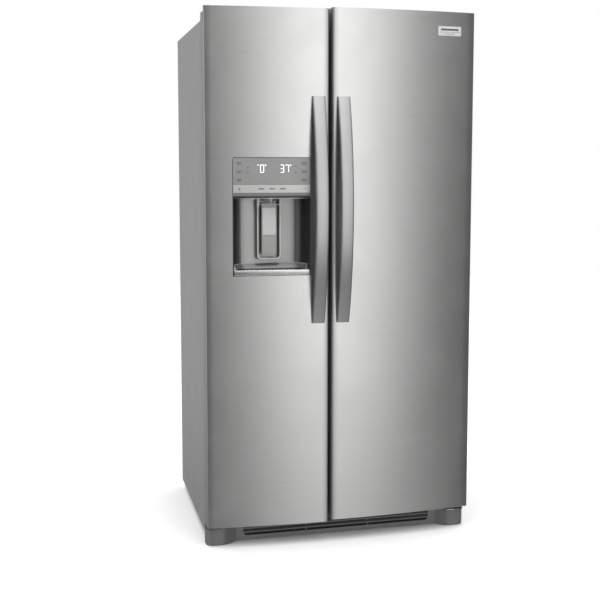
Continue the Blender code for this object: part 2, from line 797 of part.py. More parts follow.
def make_door(label, door_x, room, side):
    """Skin, foam, inner liner and gasket of one door, each as its own solid."""
    top = DOOR_TOP[label]
    bottom = top - DOOR_HEIGHT
    hinge = (side * HINGE_X, HINGE_Y)
    skin = prism(f"{label}_door_skin", door_plan(door_x), "Z", (bottom, top), "stainless")
    cavity = prism(
        f"{label}_cavity", door_plan(door_x, STEEL, back=0.0), "Z", (bottom + STEEL, top - STEEL)
    )
    cut(cavity, pocket(f"{label}_pocket_wall", side, STEEL))
    cut(skin, cavity, pocket(f"{label}_hinge_pocket", side))
    foam_back = DOOR_BACK - LINER - 2 * GAP
    inset = STEEL + GAP
    foam = prism(
        f"{label}_door_foam",
        door_plan(door_x, inset, back=foam_back),
        "Z",
        (bottom + inset, top - inset),
        "foam",
    )
    cut(foam, pocket(f"{label}_foam_pocket", side, inset))
    liner = box(
        f"{label}_door_liner",
        (door_x[0] + inset, door_x[1] - inset),
        (DOOR_BACK - LINER, DOOR_BACK),
        (bottom + inset, top - inset),
        "white_liner",
    )
    dam_x = dam_span(room, side)
    dam = box(f"{label}_dam", dam_x, (DOOR_BACK - 0.001, DAM_BACK), DAM_Z)
    hollow_x = (dam_x[0] + DAM, dam_x[1] - DAM)
    hollow_z = (DAM_Z[0] + DAM, DAM_Z[1] - DAM)
    cut(dam, box(f"{label}_dam_hollow", hollow_x, (-0.3, 0.0), hollow_z))
    add(liner, dam)
    cut(liner, pocket(f"{label}_liner_pocket", side, inset))
    for piece, radius in ((skin, PIN_RADIUS + 0.0008), (foam, PIN_RADIUS + 0.002)):
        for end, span in (("low", (0.05, 0.088)), ("high", (1.712, 1.735))):
            cut(piece, cylinder(f"{piece.name}_{end}_bore", "Z", hinge, radius, span, sides=12))
    make_gasket(label, room, side)
    return skin, foam, liner


def dam_span(room, side):
    """Room for the raised frame, with more clearance at the edge that swings furthest."""
    hinge_edge, free_edge = (0, 1) if side < 0 else (1, 0)
    span = [0.0, 0.0]
    span[hinge_edge] = room[hinge_edge] - side * 0.0065
    span[free_edge] = room[free_edge] + side * 0.0185
    return tuple(span)


def make_gasket(label, room, side):
    """Seal ring between the door's back and the cabinet's front frame."""
    if side < 0:
        x = (room[0] - 0.0225, room[1] + 0.0150)
    else:
        x = (room[0] - 0.0150, room[1] + 0.0225)
    y = (DOOR_BACK + GAP, CABINET_FRONT - GAP)
    gasket = box(f"{label}_door_gasket", x, y, GASKET_Z, "gasket")
    inner_x = (x[0] + GASKET, x[1] - GASKET)
    inner_z = (GASKET_Z[0] + GASKET, GASKET_Z[1] - GASKET)
    cut(gasket, box(f"{label}_gasket_hollow", inner_x, (-0.3, -0.2), inner_z))
    return gasket


def make_handle(name, side):
    """Bar arched outward from two square ends that meet the door, with a slightly crowned front."""
    near = GAP_MIDDLE + side * HANDLE_OFFSET
    x = sorted((near, near + side * HANDLE_WIDTH))
    middle_x = (x[0] + x[1]) / 2
    door = min(face_y(x[0]), face_y(x[1])) - GAP
    middle_z = (HANDLE_Z[0] + HANDLE_Z[1]) / 2
    half = (HANDLE_Z[1] - HANDLE_Z[0]) / 2
    front = -DEPTH / 2
    rise = door - HANDLE_END_REACH - front
    radius = (half**2 + rise**2) / (2 * rise)
    crown, edge = 0.0012, 0.003
    bm = bmesh.new()
    rings = []
    stations = 32
    for i in range(stations + 1):
        z = HANDLE_Z[0] + (HANDLE_Z[1] - HANDLE_Z[0]) * i / stations
        y = front + radius - math.sqrt(radius**2 - (z - middle_z) ** 2)
        back = min(y + HANDLE_THICKNESS, door)
        section = [
            (x[0], back),
            (x[0], y + crown + edge),
            (x[0] + edge, y + crown),
            (middle_x, y),
            (x[1] - edge, y + crown),
            (x[1], y + crown + edge),
            (x[1], back),
        ]
        rings.append([bm.verts.new((u, v, z)) for u, v in section])
    for low, high in zip(rings, rings[1:]):
        for i in range(len(low)):
            j = (i + 1) % len(low)
            bm.faces.new((low[i], low[j], high[j], high[i]))
    bm.faces.new(rings[0])
    bm.faces.new(rings[-1])
    return add_object(name, bm, "stainless")


def make_door_bin(name, dam_x, back, z, finish="clear_plastic"):
    x = (dam_x[0] + DAM + 0.0015, dam_x[1] - DAM - 0.0015)
    return tray(name, x, (DOOR_BACK + 0.001, back), z, finish, wall=0.0028, corner=0.014)


def make_dairy_lid(liner, dam_x):
    """Curved lid over the top door bin. Its pins turn in bores in the raised frame."""
    pivot = (-0.230, 1.592)
    reach = 0.088
    outer = arc((pivot[0], pivot[1] - 0.050), 0.052, 90, 30, 5)
    inner = arc((pivot[0], pivot[1] - 0.050), 0.0495, 30, 90, 5)
    tip = (pivot[0] + reach, pivot[1] - 0.030)
    outline = outer + [tip, (tip[0], tip[1] - 0.0025)] + inner
    x = (dam_x[0] + DAM + 0.003, dam_x[1] - DAM - 0.003)
    lid = prism("dairy_lid", outline, "X", x, "clear_plastic")
    pin = (x[0] - 0.008, x[1] + 0.008)
    add(lid, cylinder("dairy_pin", "X", pivot, 0.0028, pin, sides=12))
    bore = (x[0] - 0.009, x[1] + 0.009)
    cut(liner, cylinder("dairy_bore", "X", pivot, 0.0033, bore, sides=12))
    set_origin(lid, (0.0, *pivot))
    return lid


def make_badge():
    x = (0.324, 0.408)
    steps = 4
    line = [x[0] + (x[1] - x[0]) * i / steps for i in range(steps + 1)]
    outline = [(u, face_y(u, -0.0018)) for u in line]
    outline += [(u, face_y(u, -GAP)) for u in reversed(line)]
    return prism("badge_plate", outline, "Z", (1.696, 1.727), "badge")


# Dispenser


def recess_plan(inset=0.0, front=-0.40):
    """The recess from above: wide at the front, with concave sides that close on a flat back."""
    half_front, half_back = 0.1245 - inset, 0.088 - inset
    depth_start = -0.312
    back = RECESS_BACK - inset
    points = [(PANEL_X - half_front, front), (PANEL_X - half_front, depth_start)]
    steps = 8
    for i in range(1, steps + 1):
        a = math.radians(90 * i / steps)
        u = half_front - (half_front - half_back) * (1 - math.cos(a))
        points.append((PANEL_X - u, depth_start + (back - depth_start) * math.sin(a)))
    mirrored = [(2 * PANEL_X - u, v) for u, v in reversed(points)]
    return points + mirrored


def make_dispenser(skin, foam, liner):
    x = (PANEL_X - PANEL_WIDTH / 2, PANEL_X + PANEL_WIDTH / 2)
    z = (HOUSING_BOTTOM, PANEL_Z[1])
    edge = 0.0008
    radii = [0.0, 0.0, 0.0068, 0.0068]
    hole = rounded_rectangle((x[0] - edge, x[1] + edge), (z[0] - edge, z[1] + edge), radii)
    cut(skin, prism("dispenser_hole", hole, "Y", (-0.4, -0.3)))
    cut(foam, box("dispenser_room", (x[0] - 0.001, x[1] + 0.001), (-0.4, HOUSING_BACK + 0.001), (z[0] - 0.001, z[1] + 0.001)))

    panel_outline = rounded_rectangle(x, PANEL_Z, [0.0, 0.0, 0.006, 0.006])
    panel = prism("control_panel", panel_outline, "Y", (-0.36, -0.30), "display")
    keep_common(panel, bowed_slab("panel_slab", (x[0] - 0.01, x[1] + 0.01), -0.0008, -0.3065))

    outline = [(-0.36, HOUSING_BOTTOM), (HOUSING_BACK, HOUSING_BOTTOM), (HOUSING_BACK, 1.2880)]
    outline += [(-0.3055, 1.2880), (-0.3055, PANEL_Z[0] - GAP), (-0.36, PANEL_Z[0] - GAP)]
    housing = prism("dispenser_housing", outline, "X", x, "grey_moulding")
    keep_common(housing, bowed_slab("housing_slab", (x[0] - 0.01, x[1] + 0.01), 0.0, -0.1))
    cut(housing, prism("recess", recess_plan(), "Z", RECESS_Z))
    add_paddle_mount(housing)
    chute = (PANEL_X, CHUTE_Y)
    window = (PANEL_X - 0.028, PANEL_X + 0.028)
    cut(
        housing,
        cylinder("chute_bore", "Z", chute, CHUTE_RADIUS + GAP, (1.130, 1.275), sides=20),
        box("ice_window", window, (CHUTE_Y, -0.2), (1.225, 1.275)),
    )
    for piece in (foam, liner):
        cut(piece, box(f"{piece.name}_window", window, (-0.26, -0.1), (1.225, 1.275)))

    chute_tube = cylinder("ice_chute", "Z", chute, CHUTE_RADIUS, (1.1520, 1.2240), "grey_moulding", 20)
    cut(chute_tube, cylinder("chute_hollow", "Z", chute, CHUTE_RADIUS - 0.003, (1.1, 1.3), sides=20))
    make_paddle()
    make_drip_tray()


def add_paddle_mount(housing):
    """Raised frame behind the paddle and the two ears that hold its pivot."""
    half, low = 0.0415, 0.957
    outer = rounded_rectangle((PANEL_X - half, PANEL_X + half), (low, 1.161), [0.012, 0.012, 0, 0])
    frame = prism("paddle_frame", outer, "Y", (RECESS_BACK - 0.008, RECESS_BACK + 0.002))
    inner_half = half - 0.008
    inner = rounded_rectangle(
        (PANEL_X - inner_half, PANEL_X + inner_half), (low + 0.008, 1.2), [0.006, 0.006, 0, 0]
    )
    cut(frame, prism("paddle_frame_hollow", inner, "Y", (-0.3, RECESS_BACK + 0.0005)))
    add(housing, frame)
    for side in (-1, 1):
        ear = sorted((PANEL_X + side * inner_half, PANEL_X + side * half))
        y = (PADDLE_Y - 0.008, RECESS_BACK + 0.001)
        add(housing, box(f"paddle_ear_{side}", ear, y, (PADDLE_PIVOT_Z - 0.008, 1.161)))
    bore = (PANEL_X - half + 0.001, PANEL_X + half - 0.001)
    cut(housing, cylinder("paddle_bore", "X", (PADDLE_Y, PADDLE_PIVOT_Z), 0.0030, bore, sides=12))


def make_paddle():
    """Flat paddle on a cross pin; a cup or glass pushes its lower end back."""
    half = 0.0265
    x = (PANEL_X - half, PANEL_X + half)
    outline = rounded_rectangle(x, (0.973, 1.1445), [0.005] * 4, 3)
    paddle = prism("dispenser_paddle", outline, "Y", (PADDLE_Y - 0.003, PADDLE_Y + 0.003), "grey_moulding")
    pin = (PANEL_X - 0.0395, PANEL_X + 0.0395)
    pad = rounded_rectangle((PANEL_X - 0.0225, PANEL_X + 0.0225), (1.040, 1.128), [0.004] * 4, 3)
    add(
        paddle,
        cylinder("paddle_pin", "X", (PADDLE_Y, PADDLE_PIVOT_Z), 0.0026, pin, sides=12),
        prism("paddle_pad", pad, "Y", (PADDLE_Y - 0.005, PADDLE_Y - 0.001)),
    )
    set_origin(paddle, (PANEL_X, PADDLE_Y, PADDLE_PIVOT_Z))
    return paddle


def make_drip_tray():
    plan = recess_plan(0.0012, -0.3215)
    tray_obj = prism("drip_tray", plan, "Z", (RECESS_Z[0] + GAP, 0.9275), "grey_moulding")
    for i in range(7):
        x = PANEL_X + 0.024 * (i - 3)
        cut(tray_obj, box(f"tray_slot_{i}", (x - 0.007, x + 0.007), (-0.312, -0.268), (0.9, 0.95)))
    return tray_obj


def make_freezer_door():
    skin, foam, liner = make_door("freezer", FREEZER_DOOR_X, FREEZER_X, -1)
    make_dispenser(skin, foam, liner)
    make_handle("freezer_handle", -1)
    dam_x = dam_span(FREEZER_X, -1)
    make_door_bin("freezer_bin_upper", dam_x, -0.150, (1.380, 1.500))
    make_door_bin("freezer_bin_lower", dam_x, -0.150, (0.480, 0.610))


def make_fresh_door():
    _, _, liner = make_door("fresh", FRESH_DOOR_X, FRESH_X, 1)
    make_handle("fresh_handle", 1)
    make_badge()
    dam_x = dam_span(FRESH_X, 1)
    make_door_bin("fresh_bin_upper", dam_x, -0.142, (1.440, 1.552))
    make_door_bin("fresh_bin_middle", dam_x, -0.138, (1.000, 1.130))
    make_door_bin("fresh_bin_lower", dam_x, -0.138, (0.500, 0.650))
    make_dairy_lid(liner, dam_x)


def make_cabinet():
    make_cabinet_shell()
    make_foam()
    fresh_ledges = [(top - 0.0115, 0.300, LEDGE) for top in FRESH_SHELVES.values()]
    fresh_ledges += [(0.3795, 0.300, DRAWER_LEDGE)]
    freezer_ledges = [(top - 0.0115, 0.230, LEDGE) for top in FREEZER_SHELVES.values()]
    freezer_ledges += [(1.2345, 0.230, DRAWER_LEDGE), (0.3995, 0.220, DRAWER_LEDGE)]
    make_liner("freezer", FREEZER_X, freezer_ledges)
    make_liner("fresh", FRESH_X, fresh_ledges)
    make_back_panel()
    make_machine_cover()
    make_base_frame()
    make_toe_grille()
    for label, side in (("left", -1), ("right", 1)):
        make_leg(f"front_leg_{label}", side)
        make_roller(f"rear_roller_{label}", side)
        make_top_hinge(label, side)
        make_hinge_cover(label, side)
        make_bottom_hinge(label, side)
    make_compressor()
    make_condenser()
    make_fan_shroud()
    make_evaporator()
    make_evaporator_cover()
    make_fans()
    make_shelves()
    make_drawers()
    make_control_housing()
    make_ice_maker()
    make_ice_bin()


clear_scene()
make_cabinet()
make_freezer_door()
make_fresh_door()
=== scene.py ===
import json
import math

import bmesh
import bpy
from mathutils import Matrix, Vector

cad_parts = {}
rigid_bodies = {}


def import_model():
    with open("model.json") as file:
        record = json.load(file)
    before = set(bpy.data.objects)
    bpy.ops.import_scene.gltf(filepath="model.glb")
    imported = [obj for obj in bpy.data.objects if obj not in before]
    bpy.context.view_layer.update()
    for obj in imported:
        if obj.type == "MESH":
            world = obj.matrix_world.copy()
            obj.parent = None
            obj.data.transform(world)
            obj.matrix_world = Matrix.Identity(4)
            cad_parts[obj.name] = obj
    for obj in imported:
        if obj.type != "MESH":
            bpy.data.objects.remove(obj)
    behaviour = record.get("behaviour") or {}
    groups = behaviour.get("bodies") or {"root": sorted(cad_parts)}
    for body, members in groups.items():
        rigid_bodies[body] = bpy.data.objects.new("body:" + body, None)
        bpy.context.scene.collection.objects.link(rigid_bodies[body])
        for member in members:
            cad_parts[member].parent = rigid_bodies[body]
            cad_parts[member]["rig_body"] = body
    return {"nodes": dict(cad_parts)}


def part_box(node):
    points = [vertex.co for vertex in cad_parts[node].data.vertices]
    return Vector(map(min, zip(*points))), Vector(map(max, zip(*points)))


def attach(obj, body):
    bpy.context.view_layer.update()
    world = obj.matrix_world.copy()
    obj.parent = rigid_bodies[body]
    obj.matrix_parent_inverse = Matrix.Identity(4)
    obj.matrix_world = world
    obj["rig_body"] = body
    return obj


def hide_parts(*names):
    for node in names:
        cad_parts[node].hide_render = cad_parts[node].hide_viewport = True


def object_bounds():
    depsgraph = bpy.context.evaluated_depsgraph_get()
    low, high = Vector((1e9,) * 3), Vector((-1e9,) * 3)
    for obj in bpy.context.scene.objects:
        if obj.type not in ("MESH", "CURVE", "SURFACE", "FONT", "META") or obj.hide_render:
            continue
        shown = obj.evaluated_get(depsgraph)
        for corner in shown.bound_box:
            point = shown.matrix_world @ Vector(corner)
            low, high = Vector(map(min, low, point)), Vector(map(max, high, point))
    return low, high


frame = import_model()
cadLow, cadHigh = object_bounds()
scene = bpy.context.scene
bodyOf = {name: node["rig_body"] for name, node in frame["nodes"].items()}
print("frame loaded:", len(bodyOf), "nodes")

# ---- places and lines that several pieces share

doorFront = {"bow": 0.026, "handleReach": 0.060}
crownY = cadLow.y + doorFront["handleReach"]
halfWidth = (cadHigh.x - cadLow.x) / 2
bowRadius = (halfWidth**2 + doorFront["bow"]**2) / (2 * doorFront["bow"])


def frontY(x, out=0.0):
    # the bowed door front at x, stood off by out
    return crownY + bowRadius - math.sqrt(bowRadius**2 - x * x) - out


def spanOf(node, axis):
    low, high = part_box(node)
    return low["xyz".index(axis)], high["xyz".index(axis)]


def spansOf(node):
    return [spanOf(node, axis) for axis in "xyz"]


def around(centre, half):
    return (centre - half, centre + half)


def inside(span, inset):
    return (span[0] + inset, span[1] - inset)


def middle(pair):
    return (pair[0] + pair[1]) / 2


def stepsBetween(start, end, count):
    return [start + (end - start) * i / (count - 1) for i in range(count)]


# ---- shader groups


def feed(tree, socket, value):
    # links an output, or sets a plain value
    if isinstance(value, bpy.types.NodeSocket):
        tree.links.new(value, socket)
    else:
        socket.default_value = value


def addNode(tree, kind, settings=None, **values):
    node = tree.nodes.new(kind)
    for key, value in (settings or {}).items():
        setattr(node, key, value)
    for key, value in values.items():
        feed(tree, node.inputs[key.replace("_", " ")], value)
    return node


def mathNode(tree, operation, a, b=None, clamp=False):
    node = addNode(tree, "ShaderNodeMath", {"operation": operation, "use_clamp": clamp})
    for socket, value in zip(node.inputs, (a, b)):
        if value is not None:
            feed(tree, socket, value)
    return node.outputs[0]


def valueRamp(tree, source, low, high, fromLow=0.3, fromHigh=0.7, curve="LINEAR"):
    return addNode(tree, "ShaderNodeMapRange", {"interpolation_type": curve}, Value=source, From_Min=fromLow,
        From_Max=fromHigh, To_Min=low, To_Max=high).outputs[0]


def toneMix(tree, mask, colorA, colorB):
    mix = addNode(tree, "ShaderNodeMix", {"data_type": "RGBA"})
    feed(tree, mix.inputs[0], mask)
    for socket, color in ((mix.inputs[6], colorA), (mix.inputs[7], colorB)):
        feed(tree, socket, (*color, 1.0) if isinstance(color, tuple) else color)
    return mix.outputs[2]


def splitAxes(tree, vector):
    split = addNode(tree, "ShaderNodeSeparateXYZ")
    feed(tree, split.inputs[0], vector)
    return split.outputs


def onObject(tree):
    return addNode(tree, "ShaderNodeTexCoord").outputs["Object"]


def newShaderGroup(name, inputs, outputs):
    group = bpy.data.node_groups.new(name, "ShaderNodeTree")
    for label, kind, value in inputs:
        socket = group.interface.new_socket(label, in_out="INPUT", socket_type="NodeSocket" + kind)
        socket.default_value = value
    for label, kind in outputs:
        group.interface.new_socket(label, in_out="OUTPUT", socket_type="NodeSocket" + kind)
    return group, group.nodes.new("NodeGroupInput").outputs, group.nodes.new("NodeGroupOutput").inputs


def makeBrushedGrain():
    # fine hairlines drawn out along one direction
    group, given, made = newShaderGroup("brushedGrain", [("Stretch", "Vector", (6.0, 900.0, 900.0))],
        [("Streaks", "Float")])
    drawn = addNode(group, "ShaderNodeVectorMath", {"operation": "MULTIPLY"})
    feed(group, drawn.inputs[0], onObject(group))
    feed(group, drawn.inputs[1], given["Stretch"])
    hair = addNode(group, "ShaderNodeTexNoise", Vector=drawn.outputs[0], Scale=1.0, Detail=4.0, Roughness=0.7)
    feed(group, made["Streaks"], hair.outputs["Fac"])
    return group


def makeMouldGrain():
    # the fine pebbled texture of a moulding tool
    group, given, made = newShaderGroup("mouldGrain", [("Scale", "Float", 900.0)],
        [("Height", "Float"), ("Mottle", "Float")])
    place = onObject(group)
    cells = addNode(group, "ShaderNodeTexVoronoi", {"feature": "SMOOTH_F1"}, Vector=place,
        Scale=given["Scale"], Smoothness=0.6)
    broad = addNode(group, "ShaderNodeTexNoise", Vector=place, Scale=9.0, Detail=4.0)
    feed(group, made["Height"], cells.outputs["Distance"])
    feed(group, made["Mottle"], broad.outputs["Fac"])
    return group


def makeSettledDust():
    # pale dust on faces that look upward, broken up by noise
    group, given, made = newShaderGroup("settledDust", [("Color", "Color", (0.5, 0.5, 0.5, 1.0)),
        ("Dust", "Color", (0.62, 0.60, 0.56, 1.0)), ("Amount", "Float", 0.2)], [("Color", "Color")])
    facing = splitAxes(group, addNode(group, "ShaderNodeNewGeometry").outputs["Normal"])
    upward = valueRamp(group, facing["Z"], 0.0, 1.0, 0.55, 1.0)
    specks = addNode(group, "ShaderNodeTexNoise", Vector=onObject(group), Scale=60.0, Detail=8.0,
        Roughness=0.75)
    patch = valueRamp(group, specks.outputs["Fac"], 0.0, 1.0, 0.35, 0.75)
    mask = mathNode(group, "MULTIPLY", upward, patch)
    mask = mathNode(group, "MULTIPLY", mask, given["Amount"], clamp=True)
    feed(group, made["Color"], toneMix(group, mask, given["Color"], given["Dust"]))
    return group


def makeHandledMarks():
    # faint wiped patches where hands and cloths have been
    group, given, made = newShaderGroup("handledMarks", [("Scale", "Float", 5.0)], [("Mask", "Float")])
    wipes = addNode(group, "ShaderNodeTexNoise", Vector=onObject(group), Scale=given["Scale"], Detail=6.0,
        Roughness=0.6, Distortion=0.8)
    feed(group, made["Mask"], valueRamp(group, wipes.outputs["Fac"], 0.0, 1.0, 0.45, 0.75))
    return group


brushedGrain = makeBrushedGrain()
mouldGrain = makeMouldGrain()
settledDust = makeSettledDust()
handledMarks = makeHandledMarks()

# ---- finishes

finishes = {}


def newFinish(name, **constants):
    material = bpy.data.materials.new(name)
    material.use_nodes = True
    finishes[name] = material
    shader = material.node_tree.nodes["Principled BSDF"]
    for key, value in constants.items():
        shader.inputs[key.replace("_", " ")].default_value = value
    return material.node_tree, shader


def useGroup(tree, group, **values):
    return addNode(tree, "ShaderNodeGroup", {"node_tree": group}, **values).outputs


def shade(color, factor):
    return tuple(min(1.0, c * factor) for c in color)


def mottled(tree, source, color, low, high):
    # the colour, darker and lighter where the source is low and high
    return toneMix(tree, valueRamp(tree, source, 0.0, 1.0), shade(color, low), shade(color, high))


def dress(tree, shader, base, rough, height=None, depth=0.0, strength=0.4):
    # feeds a finish's colour, roughness and relief
    feed(tree, shader.inputs["Base Color"], base)
    feed(tree, shader.inputs["Roughness"], rough)
    if height is not None:
        bump = addNode(tree, "ShaderNodeBump", Height=height, Strength=strength, Distance=depth)
        feed(tree, shader.inputs["Normal"], bump.outputs["Normal"])


def brushedSteel(name, color, roughness, stretch, streak=0.05, anisotropy=0.45, turn=0.25, marks=0.04,
        depth=0.00002):
    tree, shader = newFinish(name, Metallic=1.0, Anisotropic=anisotropy, Anisotropic_Rotation=turn)
    streaks = useGroup(tree, brushedGrain, Stretch=stretch)["Streaks"]
    wiped = useGroup(tree, handledMarks, Scale=4.0)["Mask"]
    rough = valueRamp(tree, streaks, roughness - 0.03, roughness + 0.03)
    rough = mathNode(tree, "ADD", rough, mathNode(tree, "MULTIPLY", wiped, marks))
    dress(tree, shader, mottled(tree, streaks, color, 1 - streak, 1 + streak), rough, streaks, depth, 0.35)


def sprayedPaint(name, color, roughness, peelScale=420.0, dust=0.10, metallic=0.0):
    tree, shader = newFinish(name, Metallic=metallic, Coat_Roughness=0.35, Coat_Weight=0.08)
    grain = useGroup(tree, mouldGrain, Scale=peelScale)
    base = mottled(tree, grain["Mottle"], color, 0.95, 1.04)
    base = useGroup(tree, settledDust, Amount=dust, Color=base)["Color"]
    rough = valueRamp(tree, grain["Mottle"], roughness - 0.04, roughness + 0.05)
    dress(tree, shader, base, rough, grain["Height"], 0.00006, 0.5)


def mouldedPlastic(name, color, roughness, scale=1400.0, depth=0.00005, mottleStep=0.04, dust=0.0,
        metallic=0.0, wear=1.0):
    tree, shader = newFinish(name, Metallic=metallic)
    grain = useGroup(tree, mouldGrain, Scale=scale)
    wiped = useGroup(tree, handledMarks, Scale=14.0)["Mask"]
    base = mottled(tree, grain["Mottle"], color, 1 - mottleStep, 1 + mottleStep)
    if dust:
        base = useGroup(tree, settledDust, Amount=dust, Color=base)["Color"]
    rough = valueRamp(tree, wiped, roughness - 0.03 * wear, roughness + 0.05 * wear, 0.0, 1.0)
    dress(tree, shader, base, rough, grain["Height"], depth)


def clearSheet(name, color, roughness, ior, frost=0.05):
    tree, shader = newFinish(name, Transmission_Weight=1.0, IOR=ior, Metallic=0.0)
    wiped = useGroup(tree, handledMarks, Scale=11.0)["Mask"]
    base = toneMix(tree, wiped, color, shade(color, 0.97))
    dress(tree, shader, base, valueRamp(tree, wiped, roughness, roughness + frost, 0.0, 1.0))


def glowing(name, color, strength):
    tree, shader = newFinish(name, Emission_Strength=strength)
    grain = useGroup(tree, mouldGrain, Scale=700.0)
    lit = mottled(tree, grain["Mottle"], color, 0.96, 1.0)
    feed(tree, shader.inputs["Emission Color"], lit)
    dress(tree, shader, lit, 0.5)


def shadedRecessPaint(name, color, roughness, centre, shadeStart, shadeFull, shadeDepth):
    # metallic paint with painted shade that deepens towards both side walls of the recess
    tree, shader = newFinish(name, Metallic=0.8)
    off = mathNode(tree, "SUBTRACT", splitAxes(tree, onObject(tree))["X"], centre)
    side = valueRamp(tree, mathNode(tree, "ABSOLUTE", off), 0.0, 1.0, shadeStart, shadeFull, "SMOOTHSTEP")
    grain = useGroup(tree, mouldGrain, Scale=1600.0)
    # painted shade: the colour darkens with distance from the recess centre, standing in for the shade on the
    # side walls
    base = toneMix(tree, side, mottled(tree, grain["Mottle"], color, 0.96, 1.04), shade(color, shadeDepth))
    rough = valueRamp(tree, grain["Mottle"], roughness - 0.03, roughness + 0.04)
    dress(tree, shader, base, rough, grain["Height"], 0.00002)


def makeFinishes():
    # recess grey; the last three numbers place the painted shade on its side walls
    shadedRecessPaint("recessGreyWithShade", (0.40, 0.40, 0.395), 0.36, -0.242, 0.070, 0.120, 0.18)
    brushedSteel("doorSteel", (0.600, 0.600, 0.594), 0.30, (5.0, 60.0, 1100.0))
    brushedSteel("handleSteel", (0.47, 0.47, 0.466), 0.33, (260.0, 260.0, 5.0), streak=0.015, anisotropy=0.1,
        turn=0.0, marks=0.01, depth=0.000001)
    mouldedPlastic("badgeSteel", (0.62, 0.62, 0.615), 0.34, metallic=0.15, depth=0.00001)
    brushedSteel("trimSteel", (0.74, 0.74, 0.73), 0.26, (8.0, 500.0, 1300.0), streak=0.04)
    brushedSteel("zincPlate", (0.62, 0.63, 0.64), 0.36, (120.0, 120.0, 120.0), streak=0.10, anisotropy=0.0)
    brushedSteel("screwSteel", (0.70, 0.70, 0.70), 0.30, (500.0, 500.0, 500.0), streak=0.08, anisotropy=0.0)
    brushedSteel("finAluminium", (0.80, 0.80, 0.81), 0.34, (200.0, 900.0, 60.0), streak=0.05)
    brushedSteel("copperPipe", (0.72, 0.40, 0.26), 0.30, (60.0, 60.0, 400.0), streak=0.12, anisotropy=0.0)
    sprayedPaint("cabinetPaint", (0.205, 0.205, 0.202), 0.46)
    brushedSteel("darkZinc", (0.10, 0.10, 0.10), 0.40, (120.0, 120.0, 120.0), streak=0.10, anisotropy=0.0)
    sprayedPaint("doorSidePaint", (0.20, 0.20, 0.198), 0.44, peelScale=600.0, dust=0.05, metallic=0.3)
    sprayedPaint("hingeCapPaint", (0.20, 0.20, 0.20), 0.48, peelScale=700.0)
    sprayedPaint("blackEnamel", (0.018, 0.018, 0.019), 0.34, peelScale=300.0, dust=0.25)
    sprayedPaint("rearSheet", (0.36, 0.365, 0.365), 0.50, peelScale=240.0, dust=0.15, metallic=0.45)
    mouldedPlastic("grilleGrey", (0.175, 0.175, 0.173), 0.40, metallic=0.35)
    mouldedPlastic("paddleGrey", (0.34, 0.34, 0.335), 0.42, metallic=0.40)
    mouldedPlastic("padGrey", (0.56, 0.56, 0.55), 0.46, metallic=0.30)
    mouldedPlastic("displayGrey", (0.265, 0.265, 0.262), 0.32, metallic=0.25, depth=0.00001, wear=0.3)
    mouldedPlastic("stripGrey", (0.52, 0.52, 0.51), 0.34, metallic=0.55, depth=0.00001)
    mouldedPlastic("lipGrey", (0.22, 0.22, 0.218), 0.36, metallic=0.5, depth=0.00001)
    mouldedPlastic("markGrey", (0.075, 0.075, 0.075), 0.5)
    mouldedPlastic("softBlack", (0.014, 0.014, 0.014), 0.42, dust=0.05)
    mouldedPlastic("gasketRubber", (0.050, 0.050, 0.052), 0.62, scale=600.0, depth=0.00008)
    mouldedPlastic("linerWhite", (0.80, 0.81, 0.81), 0.30, scale=260.0, depth=0.00003, mottleStep=0.008,
        wear=0.2)
    mouldedPlastic("trimWhite", (0.84, 0.85, 0.85), 0.32, mottleStep=0.008, wear=0.3)
    mouldedPlastic("frostWhite", (0.74, 0.78, 0.80), 0.38, mottleStep=0.02)
    mouldedPlastic("insulation", (0.80, 0.68, 0.40), 0.85, scale=160.0, depth=0.0006, mottleStep=0.10)
    mouldedPlastic("tyreBlack", (0.03, 0.03, 0.03), 0.55, dust=0.3)
    clearSheet("clearBin", (0.93, 0.97, 0.98), 0.06, 1.42)
    clearSheet("smokeBin", (0.80, 0.88, 0.92), 0.10, 1.40)
    clearSheet("shelfGlass", (0.86, 0.95, 0.92), 0.02, 1.50, frost=0.03)
    glowing("litSegment", (0.95, 0.97, 1.0), 0.80)
    glowing("lampLens", (0.98, 0.98, 0.95), 0.6)


makeFinishes()
print("finishes:", len(finishes))

# ---- mesh helpers


def cadShape(node, flatness=0.0015):
    # the node's own shape with its loose triangles joined and its flat faces made whole
    source = frame["nodes"][node].data
    bm = bmesh.new()
    verts = [bm.verts.new(v.co) for v in source.vertices]
    for polygon in source.polygons:
        bm.faces.new([verts[i] for i in polygon.vertices])
    bmesh.ops.remove_doubles(bm, verts=bm.verts, dist=0.00001)
    bmesh.ops.dissolve_degenerate(bm, dist=0.000005, edges=bm.edges)
    bmesh.ops.dissolve_limit(bm, angle_limit=flatness, verts=bm.verts, edges=bm.edges)
    return bm


def placed(axis, u, v, w):
    # (u, v) is (y, z) across X, (x, z) across Y and (x, y) across Z
    return {"X": (w, u, v), "Y": (u, w, v), "Z": (u, v, w)}[axis]


def bridge(bm, low, high, slot=0, closed=True):
    count = len(low)
    for i in range(count if closed else count - 1):
        j = (i + 1) % count
        bm.faces.new((low[i], low[j], high[j], high[i])).material_index = slot


def skinCapped(bm, rings):
    # from each ring to the next, closed at both ends
    for low, high in zip(rings, rings[1:]):
        bridge(bm, low, high)
    for ring in (rings[0], rings[-1]):
        bm.faces.new(ring)


def skinLooped(bm, rings, slots=None, closed=True):
    # from each ring to the next and back to the first; open rings get their ends filled
    for k, (low, high) in enumerate(zip(rings, rings[1:] + rings[:1])):
        bridge(bm, low, high, slots[k] if slots else 0, closed)
    for k in () if closed else (0, -1):
        bm.faces.new([ring[k] for ring in rings])


def levelRing(bm, outline, height):
    return [bm.verts.new((u, v, height)) for u, v in outline]


def addPrism(bm, outline, axis, ends):
    skinCapped(bm, [[bm.verts.new(placed(axis, u, v, w)) for u, v in outline] for w in ends])


def rectangleOutline(u, v):
    return [(u[0], v[0]), (u[1], v[0]), (u[1], v[1]), (u[0], v[1])]


def addBox(bm, x, y, z):
    addPrism(bm, rectangleOutline(x, y), "Z", z)


